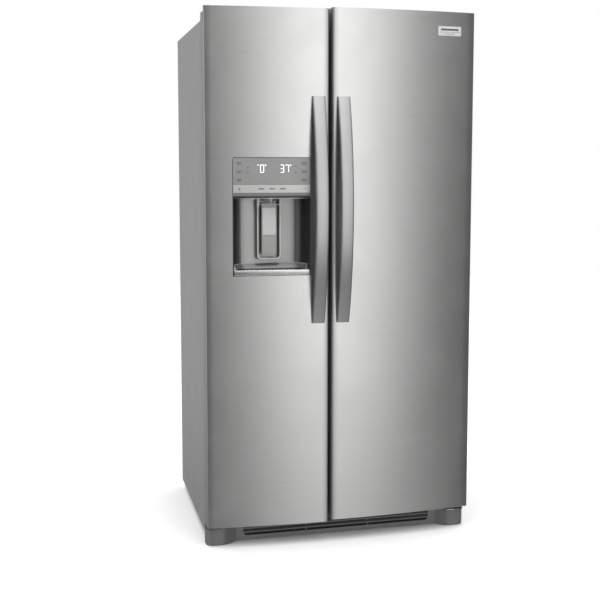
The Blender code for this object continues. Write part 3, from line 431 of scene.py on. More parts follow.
def arcPoints(centre, radius, start, end, count):
    return [(centre[0] + radius * math.cos(math.radians(a)),
        centre[1] + radius * math.sin(math.radians(a))) for a in stepsBetween(start, end, count)]


def roundedOutline(u, v, radius, count=6):
    corners = [(u[1], v[1], 0), (u[0], v[1], 90), (u[0], v[0], 180), (u[1], v[0], 270)]
    outline = []
    for cu, cv, start in corners:
        centre = (
            cu - radius if cu == u[1] else cu + radius,
            cv - radius if cv == v[1] else cv + radius,
        )
        outline += arcPoints(centre, radius, start, start + 90, count)
    return outline


def addTurned(bm, profile, centre, axis="Z", sides=32):
    # profile of (radius, along) from one end of the axis to the other
    rings = []
    for radius, along in profile:
        if radius == 0:
            rings.append([bm.verts.new(placed(axis, centre[0], centre[1], along))])
            continue
        circle = arcPoints(centre, radius, 0, 360 * (sides - 1) / sides, sides)
        rings.append([bm.verts.new(placed(axis, u, v, along)) for u, v in circle])
    for low, high in zip(rings, rings[1:]):
        for i in range(sides):
            j = (i + 1) % sides
            corners = [low[i % len(low)], low[j % len(low)], high[j % len(high)], high[i % len(high)]]
            bm.faces.new(list(dict.fromkeys(corners)))
    for ring in (rings[0], rings[-1]):
        if len(ring) > 1:
            bm.faces.new(ring)


def addPipe(bm, points, radius, sides=10):
    # a round pipe along a smooth line through the points
    path = [Vector(p) for p in points]
    rings = []
    side = Vector((0, 0, 1))
    for i, point in enumerate(path):
        along = (path[min(i + 1, len(path) - 1)] - path[max(i - 1, 0)]).normalized()
        if abs(along.dot(side)) > 0.95:
            side = Vector((1, 0, 0)) if abs(along.x) < 0.9 else Vector((0, 1, 0))
        across = along.cross(side).normalized()
        side = across.cross(along).normalized()
        ring = []
        for k in range(sides):
            a = 2 * math.pi * k / sides
            ring.append(bm.verts.new(point + radius * (math.cos(a) * side + math.sin(a) * across)))
        rings.append(ring)
    skinCapped(bm, rings)


def smoothLine(points, each=6):
    # Catmull-Rom line through a few points
    path = [Vector(p) for p in points]
    path = [2 * path[0] - path[1]] + path + [2 * path[-1] - path[-2]]
    line = []
    for a, b, c, d in zip(path, path[1:], path[2:], path[3:]):
        for k in range(each):
            t = k / each
            bend = (2 * a - 5 * b + 4 * c - d) * t**2 + (3 * b - a - 3 * c + d) * t**3
            line.append(0.5 * (2 * b + (c - a) * t + bend))
    return line + [path[-2]]


def addMitredRing(bm, u, v, profile):
    # a rectangular frame across Y; profile points are (inset, y) round its section
    corners = []
    for cu, cv, du, dv in ((u[0], v[0], 1, 1), (u[1], v[0], -1, 1), (u[1], v[1], -1, -1),
            (u[0], v[1], 1, -1)):
        corners.append([bm.verts.new((cu + du * inset, y, cv + dv * inset)) for inset, y in profile])
    skinLooped(bm, corners)


def newObject(name, data):
    obj = bpy.data.objects.new(name, data)
    scene.collection.objects.link(obj)
    return obj


def easeEdges(obj, soft, segments, corners):
    bevel = obj.modifiers.new("softEdge", "BEVEL")
    bevel.width = soft
    bevel.segments = segments
    bevel.limit_method = "ANGLE"
    bevel.angle_limit = math.radians(corners)
    bevel.harden_normals = True


def settle(obj):
    # keeps the modifiers' result as a plain mesh
    bpy.context.view_layer.update()
    graph = bpy.context.evaluated_depsgraph_get()
    made = bpy.data.meshes.new_from_object(obj.evaluated_get(graph), depsgraph=graph)
    made.name = obj.name
    obj.modifiers.clear()
    obj.data = made


def finished(name, bm, finishNames, body, soft=0.0, segments=2, slot=None, stands=(), corners=40):
    # turns the mesh into a piece that rides on its body
    bmesh.ops.recalc_face_normals(bm, faces=bm.faces)
    mesh = bpy.data.meshes.new(name)
    bm.to_mesh(mesh)
    bm.free()
    for finishName in [finishNames] if isinstance(finishNames, str) else finishNames:
        mesh.materials.append(finishes[finishName])
    obj = newObject(name, mesh)
    mesh.shade_smooth()
    if soft:
        easeEdges(obj, soft, segments, corners)
        settle(obj)
    else:
        mesh.set_sharp_from_angle(angle=math.radians(38))
    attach(obj, body)
    if stands:
        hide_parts(*stands)
    return obj


def finishedPrism(name, outline, axis, ends, *look, **rest):
    bm = bmesh.new()
    addPrism(bm, outline, axis, ends)
    return finished(name, bm, *look, **rest)


def finishedTurning(name, profile, centre, axis, sides, *look, **rest):
    bm = bmesh.new()
    addTurned(bm, profile, centre, axis, sides)
    return finished(name, bm, *look, **rest)


def finishedBox(name, x, y, z, *look, **rest):
    bm = bmesh.new()
    addBox(bm, x, y, z)
    return finished(name, bm, *look, **rest)


# ---- repeated pieces, with geometry nodes


def newRepeatTree(name, inputs):
    tree = bpy.data.node_groups.new(name, "GeometryNodeTree")
    tree.interface.new_socket("Geometry", in_out="INPUT", socket_type="NodeSocketGeometry")
    for label, kind, value in inputs:
        socket = tree.interface.new_socket(label, in_out="INPUT", socket_type="NodeSocket" + kind)
        if value is not None:
            socket.default_value = value
    tree.interface.new_socket("Geometry", in_out="OUTPUT", socket_type="NodeSocketGeometry")
    return tree, tree.nodes.new("NodeGroupInput"), tree.nodes.new("NodeGroupOutput")


def endRepeatTree(tree, start, end, instances):
    real = tree.nodes.new("GeometryNodeRealizeInstances")
    finish = tree.nodes.new("GeometryNodeSetMaterial")
    tree.links.new(instances, real.inputs["Geometry"])
    tree.links.new(real.outputs["Geometry"], finish.inputs["Geometry"])
    tree.links.new(start.outputs["Finish"], finish.inputs["Material"])
    tree.links.new(finish.outputs["Geometry"], end.inputs["Geometry"])


def makeRow(name, solid, sizes, **fixed):
    # one solid over and over in a straight row; sizes are (input, kind, value, the solid's socket)
    tree, start, end = newRepeatTree(name, [("First", "Vector", (0.0, 0.0, 0.0)),
        ("Step", "Vector", (0.01, 0.0, 0.0)), ("Count", "Int", 5)] + [size[:3] for size in sizes] + [("Turn",
        "Rotation", None), ("Finish", "Material", None)])
    given = start.outputs
    line = addNode(tree, "GeometryNodeMeshLine", {"mode": "OFFSET"}, Count=given["Count"],
        Start_Location=given["First"], Offset=given["Step"])
    shape = addNode(tree, solid, **fixed)
    for label, _, _, socket in sizes:
        feed(tree, shape.inputs[socket], given[label])
    place = addNode(tree, "GeometryNodeInstanceOnPoints", Points=line.outputs["Mesh"],
        Instance=shape.outputs["Mesh"], Rotation=given["Turn"])
    endRepeatTree(tree, start, end, place.outputs["Instances"])
    return tree


def makeScrewHeads():
    # a pan head with a hexagon washer, on every point of the mesh it is given
    tree, start, end = newRepeatTree(
        "screwHeads",
        [("Radius", "Float", 0.004), ("Turn", "Rotation", None), ("Finish", "Material", None)],
    )
    given = start.outputs
    parts = addNode(tree, "GeometryNodeJoinGeometry")
    # sides, share of the radius, depth and height of the middle
    for sides, widen, depth, rise in ((20, 1.25, 0.0010, 0.0005), (6, 0.95, 0.0030, 0.0020),
            (12, 0.55, 0.0006, 0.0037)):
        disc = addNode(tree, "GeometryNodeMeshCylinder", Vertices=sides, Depth=depth,
            Radius=mathNode(tree, "MULTIPLY", given["Radius"], widen))
        lifted = addNode(tree, "GeometryNodeTransform", Geometry=disc.outputs["Mesh"],
            Translation=(0.0, 0.0, rise))
        feed(tree, parts.inputs[0], lifted.outputs["Geometry"])
    place = addNode(tree, "GeometryNodeInstanceOnPoints", Points=given["Geometry"], Instance=parts.outputs[0],
        Rotation=given["Turn"])
    endRepeatTree(tree, start, end, place.outputs["Instances"])
    return tree


barRow = makeRow("barRow", "GeometryNodeMeshCube", [("Size", "Vector", (0.002, 0.01, 0.01), "Size")])
rodRow = makeRow("rodRow", "GeometryNodeMeshCylinder", [("Radius", "Float", 0.001, "Radius"),
    ("Length", "Float", 0.1, "Depth")], Vertices=10)
screwHeads = makeScrewHeads()


def repeated(name, tree, body, finishName, points=(), slot=None, soft=0.0, **values):
    # runs a tree on an object, keeps its result and sends it to its body
    mesh = bpy.data.meshes.new(name)
    mesh.from_pydata([tuple(p) for p in points], [], [])
    obj = newObject(name, mesh)
    modifier = obj.modifiers.new("repeat", "NODES")
    modifier.node_group = tree
    values["Finish"] = finishes[finishName]
    for item in tree.interface.items_tree:
        if item.item_type == "SOCKET" and item.in_out == "INPUT" and item.name in values:
            modifier[item.identifier] = values[item.name]
    if soft:
        easeEdges(obj, soft, 2, 30)
    settle(obj)
    obj.data.shade_smooth()
    obj.data.set_sharp_from_angle(angle=math.radians(40))
    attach(obj, body)
    return obj


def turned(x=0.0):
    return (math.radians(x), 0.0, 0.0)


# ---- cabinet and doors

binNodes = ["freezer_bin_upper", "freezer_bin_lower", "fresh_bin_upper", "fresh_bin_middle",
    "fresh_bin_lower"]
easedNodes = [
    # finish, record slot, edge radius, nodes
    ("cabinetPaint", "cabinet_grey", 0.0009, ["cabinet_shell"]),
    ("rearSheet", "rear_board", 0.0004, ["machine_cover"]),
    ("grilleGrey", "grey_moulding", 0.0008, ["toe_grille"]),
    ("hingeCapPaint", "cabinet_grey", 0.0009, ["hinge_cover_left", "hinge_cover_right"]),
    ("zincPlate", "zinc_steel", 0.0004, ["top_hinge_left", "top_hinge_right"]),
    ("darkZinc", "zinc_steel", 0.0004, ["bottom_hinge_left", "bottom_hinge_right"]),
    ("zincPlate", "zinc_steel", 0.0003, ["base_frame"]),
    ("linerWhite", "white_liner", 0.0010, ["freezer_door_liner", "fresh_door_liner"]),
    ("linerWhite", "white_liner", 0.0012, ["freezer_liner", "fresh_liner"]),
    ("recessGreyWithShade", "grey_moulding", 0.0006, ["dispenser_housing"]),
    ("linerWhite", "white_liner", 0.0006, ["evaporator_cover"]),
    ("trimWhite", "white_liner", 0.0012, ["ice_maker"]),
    ("softBlack", "black_plastic", 0.0005, ["fan_shroud"]),
    ("clearBin", "clear_plastic", 0.0008, binNodes),
    ("smokeBin", "clear_plastic", 0.0008, ["crisper_upper", "crisper_lower"]),
    ("clearBin", "clear_plastic", 0.0008, ["freezer_basket_upper", "freezer_basket_lower"]),
    ("smokeBin", "clear_plastic", 0.0008, ["ice_bin"]),
    ("smokeBin", "clear_plastic", 0.0005, ["dairy_lid"]),
    ("zincPlate", "zinc_steel", 0.0004, ["front_leg_left", "front_leg_right"]),
    ("tyreBlack", "black_plastic", 0.0010, ["rear_roller_left", "rear_roller_right"]),
    ("softBlack", "black_plastic", 0.0004, ["condenser_fan"]),
    ("trimWhite", "white_liner", 0.0004, ["evaporator_fan"]),
]
keptNodes = {
    "cabinet_foam": "insulation",
    "freezer_door_foam": "insulation",
    "fresh_door_foam": "insulation",
    "evaporator": "finAluminium",
    "condenser": "blackEnamel",
}


def makeDoorSkins():
    # brushed fronts, with the outer and inner sides of each door in grey paint
    for node in ("freezer_door_skin", "fresh_door_skin"):
        bm = cadShape(node)
        bm.normal_update()
        for face in bm.faces:
            if abs(face.normal.x) > 0.97 and face.calc_center_median().y > crownY:
                face.material_index = 1
        finished(node + "_eased", bm, ["doorSteel", "doorSidePaint"], bodyOf[node], 0.0008, slot="stainless",
            stands=(node,))


def makeEasedNodes():
    for finishName, slot, soft, nodes in easedNodes:
        for node in nodes:
            finished(node + "_eased", cadShape(node), finishName, bodyOf[node], soft, slot=slot,
                stands=(node,))
    for node, finishName in keptNodes.items():
        mesh = frame["nodes"][node].data
        mesh.materials.clear()
        mesh.materials.append(finishes[finishName])


gasketLook = {"width": 0.014, "bellows": 0.0016, "lip": 0.0022}


def makeGaskets():
    # a magnetic seal: two flat faces with a pleated bellows between them
    for side in ("freezer", "fresh"):
        node = side + "_door_gasket"
        x, y, z = spansOf(node)
        width, depth = gasketLook["width"], y[1] - y[0]
        pleat = gasketLook["bellows"]
        folds = [(0.0, 0.22), (pleat, 0.34), (0.0, 0.46), (pleat, 0.60), (0.0, 0.74)]
        profile = [(0.0, y[1]), (width, y[1])]
        profile += [(width - inset, y[1] - share * depth) for inset, share in folds]
        profile += [(width - gasketLook["lip"], y[0]), (gasketLook["lip"], y[0])]
        profile += [(inset, y[1] - share * depth) for inset, share in reversed(folds)]
        bm = bmesh.new()
        addMitredRing(bm, x, z, profile)
        finished(node + "_seal", bm, "gasketRubber", bodyOf[node], soft=0.0003, slot="gasket_rubber",
            stands=(node,))


handleLook = {"stations": 72, "corner": 0.0034, "crown": 0.0005, "endReach": 0.009, "thickness": 0.014}


def handleSection(x, frontLine, backLine):
    # across the bar: crowned front, rounded edges, flat back
    corner = min(handleLook["corner"], (backLine - frontLine) * 0.45)
    low = frontLine + handleLook["crown"]
    half = (x[1] - x[0]) / 2 - corner
    centre = middle(x)
    points = []
    for t in stepsBetween(-1.0, 1.0, 9):
        points.append((centre + half * t, frontLine + handleLook["crown"] * t * t))
    points += arcPoints((x[1] - corner, low + corner), corner, -72, 0, 5)
    back = corner * 0.6
    points += arcPoints((x[1] - back, backLine - back), back, 0, 90, 4)
    points += arcPoints((x[0] + back, backLine - back), back, 90, 180, 4)
    points += arcPoints((x[0] + corner, low + corner), corner, 180, 252, 5)
    return points


def makeHandles():
    for side in ("freezer", "fresh"):
        node = side + "_handle"
        x, y, z = spansOf(node)
        door = y[1]
        rise = (door - handleLook["endReach"]) - y[0]
        half = (z[1] - z[0]) / 2
        radius = (half**2 + rise**2) / (2 * rise)
        bm = bmesh.new()
        rings = []
        for height in stepsBetween(z[0], z[1], handleLook["stations"]):
            offset = height - middle(z)
            frontLine = y[0] + radius - math.sqrt(radius**2 - offset**2)
            backLine = min(frontLine + handleLook["thickness"], door)
            rings.append(levelRing(bm, handleSection(x, frontLine, backLine), height))
        skinCapped(bm, rings)
        finished(node + "_bar", bm, "handleSteel", bodyOf[node], soft=0.0009, slot="stainless",
            stands=(node,), corners=55)


makeDoorSkins()
makeEasedNodes()
makeGaskets()
makeHandles()
print("cabinet, doors and handles done")

# ---- dispenser

panelX, panelZ = spanOf("control_panel", "x"), spanOf("control_panel", "z")
panelCentre = middle(panelX)
dispenserLook = {
    "displayShare": 0.328,  # of the panel's height, up to the lower edge of the display
    "stripShare": 0.125,  # up to the lower edge of the key strip
    "corner": 0.006,
    "digitHeight": 0.0260,
    "digitWidth": 0.0125,
    "stroke": 0.0021,
}
displayLow = panelZ[0] + (panelZ[1] - panelZ[0]) * dispenserLook["displayShare"]
stripLow = panelZ[0] + (panelZ[1] - panelZ[0]) * dispenserLook["stripShare"]


def addBowedPlate(bm, outline, out, depth, columns=14):
    # a plate that follows the door's bow: outline in (x, z), split into columns along x
    xs = [p[0] for p in outline]
    low, high = min(xs), max(xs)
    flat = bmesh.new()
    flat.faces.new([flat.verts.new((u, 0, w)) for u, w in outline])
    for cut in stepsBetween(low, high, columns)[1:-1]:
        geometry = flat.verts[:] + flat.edges[:] + flat.faces[:]
        bmesh.ops.bisect_plane(flat, geom=geometry, plane_co=(cut, 0, 0), plane_no=(1, 0, 0))
    flat.verts.index_update()
    front = {v.index: bm.verts.new((v.co.x, frontY(v.co.x, out), v.co.z)) for v in flat.verts}
    back = {v.index: bm.verts.new((v.co.x, frontY(v.co.x, out - depth), v.co.z)) for v in flat.verts}
    for face in flat.faces:
        ids = [v.index for v in face.verts]
        bm.faces.new([front[i] for i in ids])
        bm.faces.new([back[i] for i in reversed(ids)])
    for edge in flat.edges:
        if len(edge.link_faces) == 1:
            a, b = (v.index for v in edge.verts)
            bm.faces.new((front[a], front[b], back[b], back[a]))
    flat.free()


def addBar(bm, x, z, out, depth=0.0004, columns=2):
    addBowedPlate(bm, rectangleOutline(x, z), out, depth, columns)


def finishedPlate(name, outline, out, depth, *look, columns=14, **rest):
    bm = bmesh.new()
    addBowedPlate(bm, outline, out, depth, columns)
    return finished(name, bm, *look, **rest)


def topRounded(x, z, radius):
    outline = [(x[0], z[0]), (x[1], z[0])]
    outline += arcPoints((x[1] - radius, z[1] - radius), radius, 0, 90, 6)
    outline += arcPoints((x[0] + radius, z[1] - radius), radius, 90, 180, 6)
    return outline


def makeControlPanel():
    rim = 0.0011
    outline = topRounded(panelX, (stripLow, panelZ[1]), dispenserLook["corner"])
    finishedPlate("panel_border", outline, -0.0003, 0.0022, "markGrey", "freezer_door", slot="display_face")
    inner = (panelX[0] + rim, panelX[1] - rim)
    outline = topRounded(inner, (displayLow + 0.0004, panelZ[1] - rim), dispenserLook["corner"] - rim)
    finishedPlate("display_window", outline, 0.0008, 0.0014, "displayGrey", "freezer_door",
        slot="display_face", soft=0.0003, stands=("control_panel",))
    outline = rectangleOutline(inner, (stripLow, displayLow - 0.0004))
    finishedPlate("key_strip", outline, 0.0012, 0.0018, "stripGrey", "freezer_door", slot="display_face",
        soft=0.0004)

    # the lip under the strip leans back towards the recess
    bm = bmesh.new()
    columns = stepsBetween(*inside(panelX, 0.0003), 14)
    section = [(0.0006, stripLow - 0.0006), (0.0002, panelZ[0] + 0.0075), (-0.0075, panelZ[0] + 0.0003),
        (-0.0180, panelZ[0] + 0.0003), (-0.0180, stripLow - 0.0006)]
    skinCapped(bm, [[bm.verts.new((u, frontY(u, out), w)) for out, w in section] for u in columns])
    finished("recess_lip", bm, "lipGrey", "freezer_door", slot="grey_moulding", soft=0.0006, corners=24)


segmentsOf = {"0": "abcdef", "3": "abcdg", "7": "abc"}


def addSegments(bm, digit, x, z):
    # one seven-segment figure with its lower left corner at x, z
    width, height, stroke = (dispenserLook[k] for k in ("digitWidth", "digitHeight", "stroke"))
    gap = 0.0004
    level = {"a": height, "g": (height + stroke) / 2, "d": stroke}
    for segment in segmentsOf[digit]:
        if segment in level:
            top = z + level[segment]
            spanX, spanZ = (x + stroke * 0.6, x + width - stroke * 0.6), (top - stroke, top)
        else:
            left = x if segment in "ef" else x + width - stroke
            half = (height - stroke) / 2
            low = z + stroke / 2 if segment in "ce" else z + stroke / 2 + half
            spanX, spanZ = (left, left + stroke), (low + gap, low + half - gap)
        addBar(bm, spanX, spanZ, 0.00125, 0.0006)


def addRingMark(bm, x, z, radius, stroke):
    outer = arcPoints((x, z), radius, 0, 337.5, 16)
    inner = arcPoints((x, z), radius - stroke, 0, 337.5, 16)
    rings = []
    for outline, out in ((outer, 0.00125), (inner, 0.00125), (inner, 0.0007), (outer, 0.0007)):
        rings.append([bm.verts.new((u, frontY(u, out), w)) for u, w in outline])
    skinLooped(bm, rings)


def makeDisplayMarks():
    # lit figures: the two compartments' set temperatures
    baseline = displayLow + (panelZ[1] - displayLow) * 0.44
    bm = bmesh.new()
    freezerFigure = panelCentre - 0.0385
    freshFigure = panelCentre + 0.0270
    pitch = dispenserLook["digitWidth"] + 0.0035
    top = baseline + dispenserLook["digitHeight"]
    for digit, x in (("0", freezerFigure), ("3", freshFigure), ("7", freshFigure + pitch)):
        addSegments(bm, digit, x, baseline)
    for x in (freezerFigure + pitch + 0.0015, freshFigure + 2 * pitch + 0.0015):
        addRingMark(bm, x, top - 0.0022, 0.0026, 0.0011)
    addBar(bm, (freezerFigure - 0.0095, freezerFigure - 0.0035), (top - 0.0022, top - 0.0002), 0.00125,
        0.0006)
    finished("display_figures", bm, "litSegment", "freezer_door", slot="display_face")

    # plain bars stand where the key captions would be
    bm = bmesh.new()
    height = panelZ[1] - displayLow
    for share in (0.74, 0.43, 0.12):
        z = displayLow + height * share
        for x, wide in ((panelX[0] + 0.0205, 0.0170), (panelX[1] - 0.0215, 0.0185)):
            for line, length in ((0.0052, wide), (0.0, wide * 0.72)):
                addBar(bm, around(x, length / 2), (z + line, z + line + 0.0023), 0.00095)
    for x, shares in ((panelX[0] + 0.0490, (0.63, 0.44)), (panelX[1] - 0.0500, (0.68, 0.45))):
        for share in shares:
            dot = roundedOutline(around(x, 0.0030), around(displayLow + height * share, 0.0012), 0.0011, 4)
            addBowedPlate(bm, dot, 0.00095, 0.0004, 2)
    # key strip: three captions, a closed ring at one end and an open one at the other
    z = middle((stripLow, displayLow))
    for offset in (-0.0345, 0.0005, 0.0355):
        addBar(bm, around(panelCentre + offset, 0.0095), (z - 0.0020, z + 0.0014), 0.00135)
    lockX, lampX = panelX[0] + 0.0215, panelX[1] - 0.0195
    addBar(bm, around(lockX, 0.0026), (z - 0.0040, z + 0.0004), 0.00135)
    addRingMark(bm, lockX, z + 0.0012, 0.0026, 0.0008)
    addRingMark(bm, lampX, z, 0.0034, 0.0009)
    finished("caption_bars", bm, "markGrey", "freezer_door", slot="display_face")


def makePaddle():
    low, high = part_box("dispenser_paddle")
    x = around(panelCentre, 0.0250)
    y = (low.y + 0.002, high.y)
    z = (low.z, high.z)
    bm = bmesh.new()
    addPrism(bm, roundedOutline(x, z, 0.005), "Y", y)
    addTurned(bm, [(0.0026, low.x), (0.0026, high.x)], (-0.276, 1.140), "X", 20)
    finished("paddle_plate", bm, "paddleGrey", "dispenser_paddle", soft=0.0009, segments=3,
        slot="grey_moulding", stands=("dispenser_paddle",))
    finishedPrism("paddle_pad", roundedOutline(around(panelCentre, 0.0225), (1.040, 1.130), 0.004), "Y",
        (low.y, y[0] + 0.0005), "padGrey", "dispenser_paddle", soft=0.0008, segments=3, slot="grey_moulding")
    finishedPrism("paddle_foot", roundedOutline(around(panelCentre, 0.0225), (z[0] + 0.006, 1.034), 0.004),
        "Y", (y[0] - 0.0010, y[0] + 0.0005), "paddleGrey", "dispenser_paddle", soft=0.0005,
        slot="grey_moulding")

    # a raised rim round the paddle's opening: its front faces in pale grey are a painted highlight and its
    # walls in dark grey are painted shade
    def rimOutline(inset):
        half, foot, corner = 0.0405 - inset, 0.958 + inset, 0.010
        left = [(panelCentre - half, 1.158)]
        left += arcPoints((panelCentre - half + corner, foot + corner), corner, 180, 270, 7)
        return left + [(2 * panelCentre - u, w) for u, w in reversed(left)]

    bm = bmesh.new()
    front, back = -0.2785, -0.2560
    rings = []
    for inset, depth in ((0.0, front + 0.001), (0.0010, front), (0.0042, front), (0.0052, front + 0.001),
            (0.0052, back), (0.0, back)):
        rings.append([bm.verts.new((u, depth, w)) for u, w in rimOutline(inset)])
    # slot 1 (dark grey) paints shade on the rim's walls, slot 0 (pale grey) paints the lit front face
    skinLooped(bm, rings, (1, 0, 0, 1, 0, 1), closed=False)
    finished("paddle_surround", bm, ["padGrey", "lipGrey"], "freezer_door", soft=0.0, slot="grey_moulding")


def makeChuteAndNozzle():
    x, y, z = spansOf("ice_chute")
    centre = (middle(x), middle(y))
    radius = (x[1] - x[0]) / 2
    bm = bmesh.new()
    profile = [(radius - 0.003, z[1]), (radius, z[1]), (radius, z[0] + 0.0015), (radius - 0.001, z[0]),
        (radius - 0.0035, z[0] + 0.0005), (radius - 0.003, z[0] + 0.003)]
    rings = []
    for r, h in profile:
        rings.append(levelRing(bm, arcPoints(centre, r, 0, 351, 40), h))
    skinLooped(bm, rings)
    finished("chute_tube", bm, "lipGrey", "freezer_door", slot="grey_moulding", stands=("ice_chute",))
    # water spout in front of the chute
    bm = bmesh.new()
    spout = (panelCentre, centre[1] - radius - 0.0085)
    addTurned(bm, [(0.0, 1.1640), (0.0085, 1.1640), (0.0085, 1.1530), (0.0066, 1.1470), (0.0040, 1.1460),
        (0.0, 1.1475)], spout, "Z", 28)
    addTurned(bm, [(0.0, 1.1622), (0.0140, 1.1622), (0.0140, 1.1600), (0.0120, 1.1588), (0.0, 1.1588)], spout,
        "Z", 36)
    finished("water_spout", bm, "trimSteel", "freezer_door", slot="stainless")
    finishedTurning("recess_lamp", [(0.0, 1.1612), (0.0075, 1.1612), (0.0075, 1.1594), (0.0060, 1.1588),
        (0.0, 1.1588)], (panelCentre - 0.060, -0.300), "Z", 24, "lampLens", "freezer_door",
        slot="white_liner")


def recessEdge(inset, front, count=14):
    # the recess seen from above, rounded into its back
    halfFront, halfBack = 0.1245 - inset, 0.088 - inset
    start, back = -0.312, -0.254 - inset
    points = [(panelCentre - halfFront, front), (panelCentre - halfFront, start)]
    for a in stepsBetween(0, 90, count)[1:]:
        t = math.radians(a)
        points.append((panelCentre - halfFront + (halfFront - halfBack) * (1 - math.cos(t)),
            start + (back - start) * math.sin(t)))
    return points + [(2 * panelCentre - u, v) for u, v in reversed(points)]


def makeDripTray():
    x, y, z = spansOf("drip_tray")
    # a dished rim with a bright front bar and a slatted grid over a dark well
    bm = bmesh.new()
    outer = recessEdge(0.0012, y[0] + 0.0025)
    inner = recessEdge(0.0080, y[0] + 0.0110)
    floorZ = z[0] + 0.0012
    rings = []
    for outline, height in ((outer, z[0]), (outer, z[1] - 0.0008), (inner, z[1] - 0.0026), (inner, floorZ)):
        rings.append(levelRing(bm, outline, height))
    skinCapped(bm, rings)
    finished("drip_tray_well", bm, "lipGrey", "freezer_door", soft=0.0004, slot="grey_moulding",
        stands=("drip_tray",))

    bm = bmesh.new()
    columns = stepsBetween(*inside(x, 0.0004), 24)
    section = [(0.0008, z[0] - 0.0100), (0.0014, z[0] - 0.0088), (0.0014, z[1] - 0.0005),
        (0.0002, z[1] + 0.0008), (-0.0100, z[1] + 0.0008), (-0.0108, z[1] - 0.0010), (-0.0108, z[0] + 0.0010),
        (-0.0006, z[0] + 0.0006), (-0.0006, z[0] - 0.0100)]
    skinCapped(bm, [[bm.verts.new((u, frontY(u, out), w)) for out, w in section] for u in columns])
    finished("drip_tray_bar", bm, "trimSteel", "freezer_door", soft=0.0003, slot="stainless", corners=30)

    # basin rising to a pale rim along the sides and back
    bm = bmesh.new()
    rings = []
    for inset, height in ((0.0014, z[1] - 0.0005), (0.0014, 0.9440), (0.0040, 0.9450), (0.0060, 0.9435),
            (0.0125, z[1] + 0.0004)):
        rings.append(levelRing(bm, recessEdge(inset, y[0] + 0.0150), height))
    skinLooped(bm, rings, (1, 0, 0, 1, 1), closed=False)
    finished("drip_tray_rim", bm, ["padGrey", "lipGrey"], "freezer_door", slot="grey_moulding")

    repeated("drip_tray_slats", barRow, "freezer_door", "padGrey", slot="grey_moulding", soft=0.0003,
        First=(panelCentre - 0.078, -0.2925, z[1] - 0.0018), Step=(0.012, 0.0, 0.0), Count=14,
        Size=(0.0034, 0.048, 0.0022))


def makeBadge():
    x, _, z = spansOf("badge_plate")
    finishedPlate("badge_face", roundedOutline(x, z, 0.0016, 4), 0.0018, 0.0016, "badgeSteel", "fresh_door",
        columns=8, soft=0.0005, slot="badge_metal", stands=("badge_plate",))
    bm = bmesh.new()
    line = z[0] + (z[1] - z[0]) * 0.36
    # inset from the sides, lower and upper edge over the line
    for inset, low, high, columns in ((0.005, 0.0, 0.0010, 8), (0.010, 0.0062, 0.0118, 8),
            (0.024, -0.0062, -0.0050, 5)):
        addBar(bm, (x[0] + inset, x[1] - inset), (line + low, line + high), 0.00195, columns=columns)
    finished("badge_line", bm, "markGrey", "fresh_door", slot="badge_metal")


makeControlPanel()
makeDisplayMarks()
makePaddle()
makeChuteAndNozzle()
makeDripTray()
makeBadge()
print("dispenser and badge done")

# ---- base and top

hingeScrews = [
    # name, radius, tilt in degrees, places on the right side
    ("top_hinge_screws_", 0.0036, 0, [(0.4105, -0.205, 1.737), (0.4105, -0.153, 1.737), (0.42, -0.18, 1.737)]),
    ("lower_hinge_screws_", 0.0034, 90, [(0.4150, -0.2250, 0.0500), (0.4400, -0.2250, 0.0780)]),
    ("hinge_cap_screw_", 0.0034, 0, [(0.402, -0.150, 1.7632)]),
]


def makeBaseDetails():
    # black baffle behind the louvres: partly a real black backing, partly painted shade standing in for the
    # dark inside of the vent
    finishedBox("kick_shade_baffle", (-0.3400, 0.3400), (-0.2525, -0.2495), (0.0170, 0.0640), "softBlack",
        "cabinet", soft=0.0006, slot="black_plastic")
    # black ribs on the baffle, part of the same painted vent shade
    repeated("kick_shade_baffle_ribs", barRow, "cabinet", "softBlack", slot="black_plastic",
        First=(-0.325, -0.2535, 0.0405), Step=(0.025, 0.0, 0.0), Count=27, Size=(0.0022, 0.0024, 0.0440))
    for label, side in (("left", -1), ("right", 1)):
        # washer and sleeve where the door turns on its lower pin
        finishedTurning("lower_bush_" + label, [(0.0, 0.0672), (0.0105, 0.0672), (0.0105, 0.0688),
            (0.0082, 0.0698), (0.0, 0.0698)], (side * 0.435, -0.275), "Z", 28, "screwSteel",
            "freezer_door" if side < 0 else "fresh_door", slot="black_plastic")
        for name, radius, tilt, places in hingeScrews:
            repeated(name + label, screwHeads, "cabinet", "screwSteel", slot="zinc_steel",
                points=[(side * x, y, z) for x, y, z in places], Radius=radius, Turn=turned(x=tilt))


makeBaseDetails()

# ---- inside the compartments

shelfLook = {"frame": 0.011, "glass": 0.0036}


def makeShelf(node):
    # glass in a white moulded frame, with a bullnose front trim
    x, y, z = spansOf(node)
    top = z[1] - 0.001
    inner = (x[0] + shelfLook["frame"], x[1] - shelfLook["frame"])
    finishedBox(node + "_glass", inside(x, 0.003), (y[0] + 0.004, y[1] - 0.003),
        (top - shelfLook["glass"], top - 0.0002), "shelfGlass", bodyOf[node], soft=0.0005, slot="shelf_glass",
        stands=(node,))
    bm = bmesh.new()
    for a, b in ((x[0], inner[0]), (inner[1], x[1])):
        addBox(bm, (a, b), (y[0] + 0.004, y[1]), (top - 0.0074, top + 0.0006))
    addBox(bm, inner, (y[1] - 0.010, y[1]), (top - 0.0074, top + 0.0012))
    front = [(y[0] + 0.010, top + 0.0006), (y[0] + 0.002, top + 0.0010), (y[0], top - 0.0015),
        (y[0], top - 0.0088), (y[0] + 0.0014, top - 0.0108), (y[0] + 0.009, top - 0.0108)]
    addPrism(bm, front, "X", (x[0], x[1]))
    finished(node + "_trim", bm, "trimWhite", bodyOf[node], soft=0.0011, segments=3, slot="white_liner")
    finishedBox(node + "_strip", inside(x, 0.02), around(y[0], 0.0006), (top - 0.0070, top - 0.0040),
        "trimSteel", bodyOf[node], soft=0.0003, slot="stainless")


binLook = {"rimHeight": 0.012, "ribs": 9}


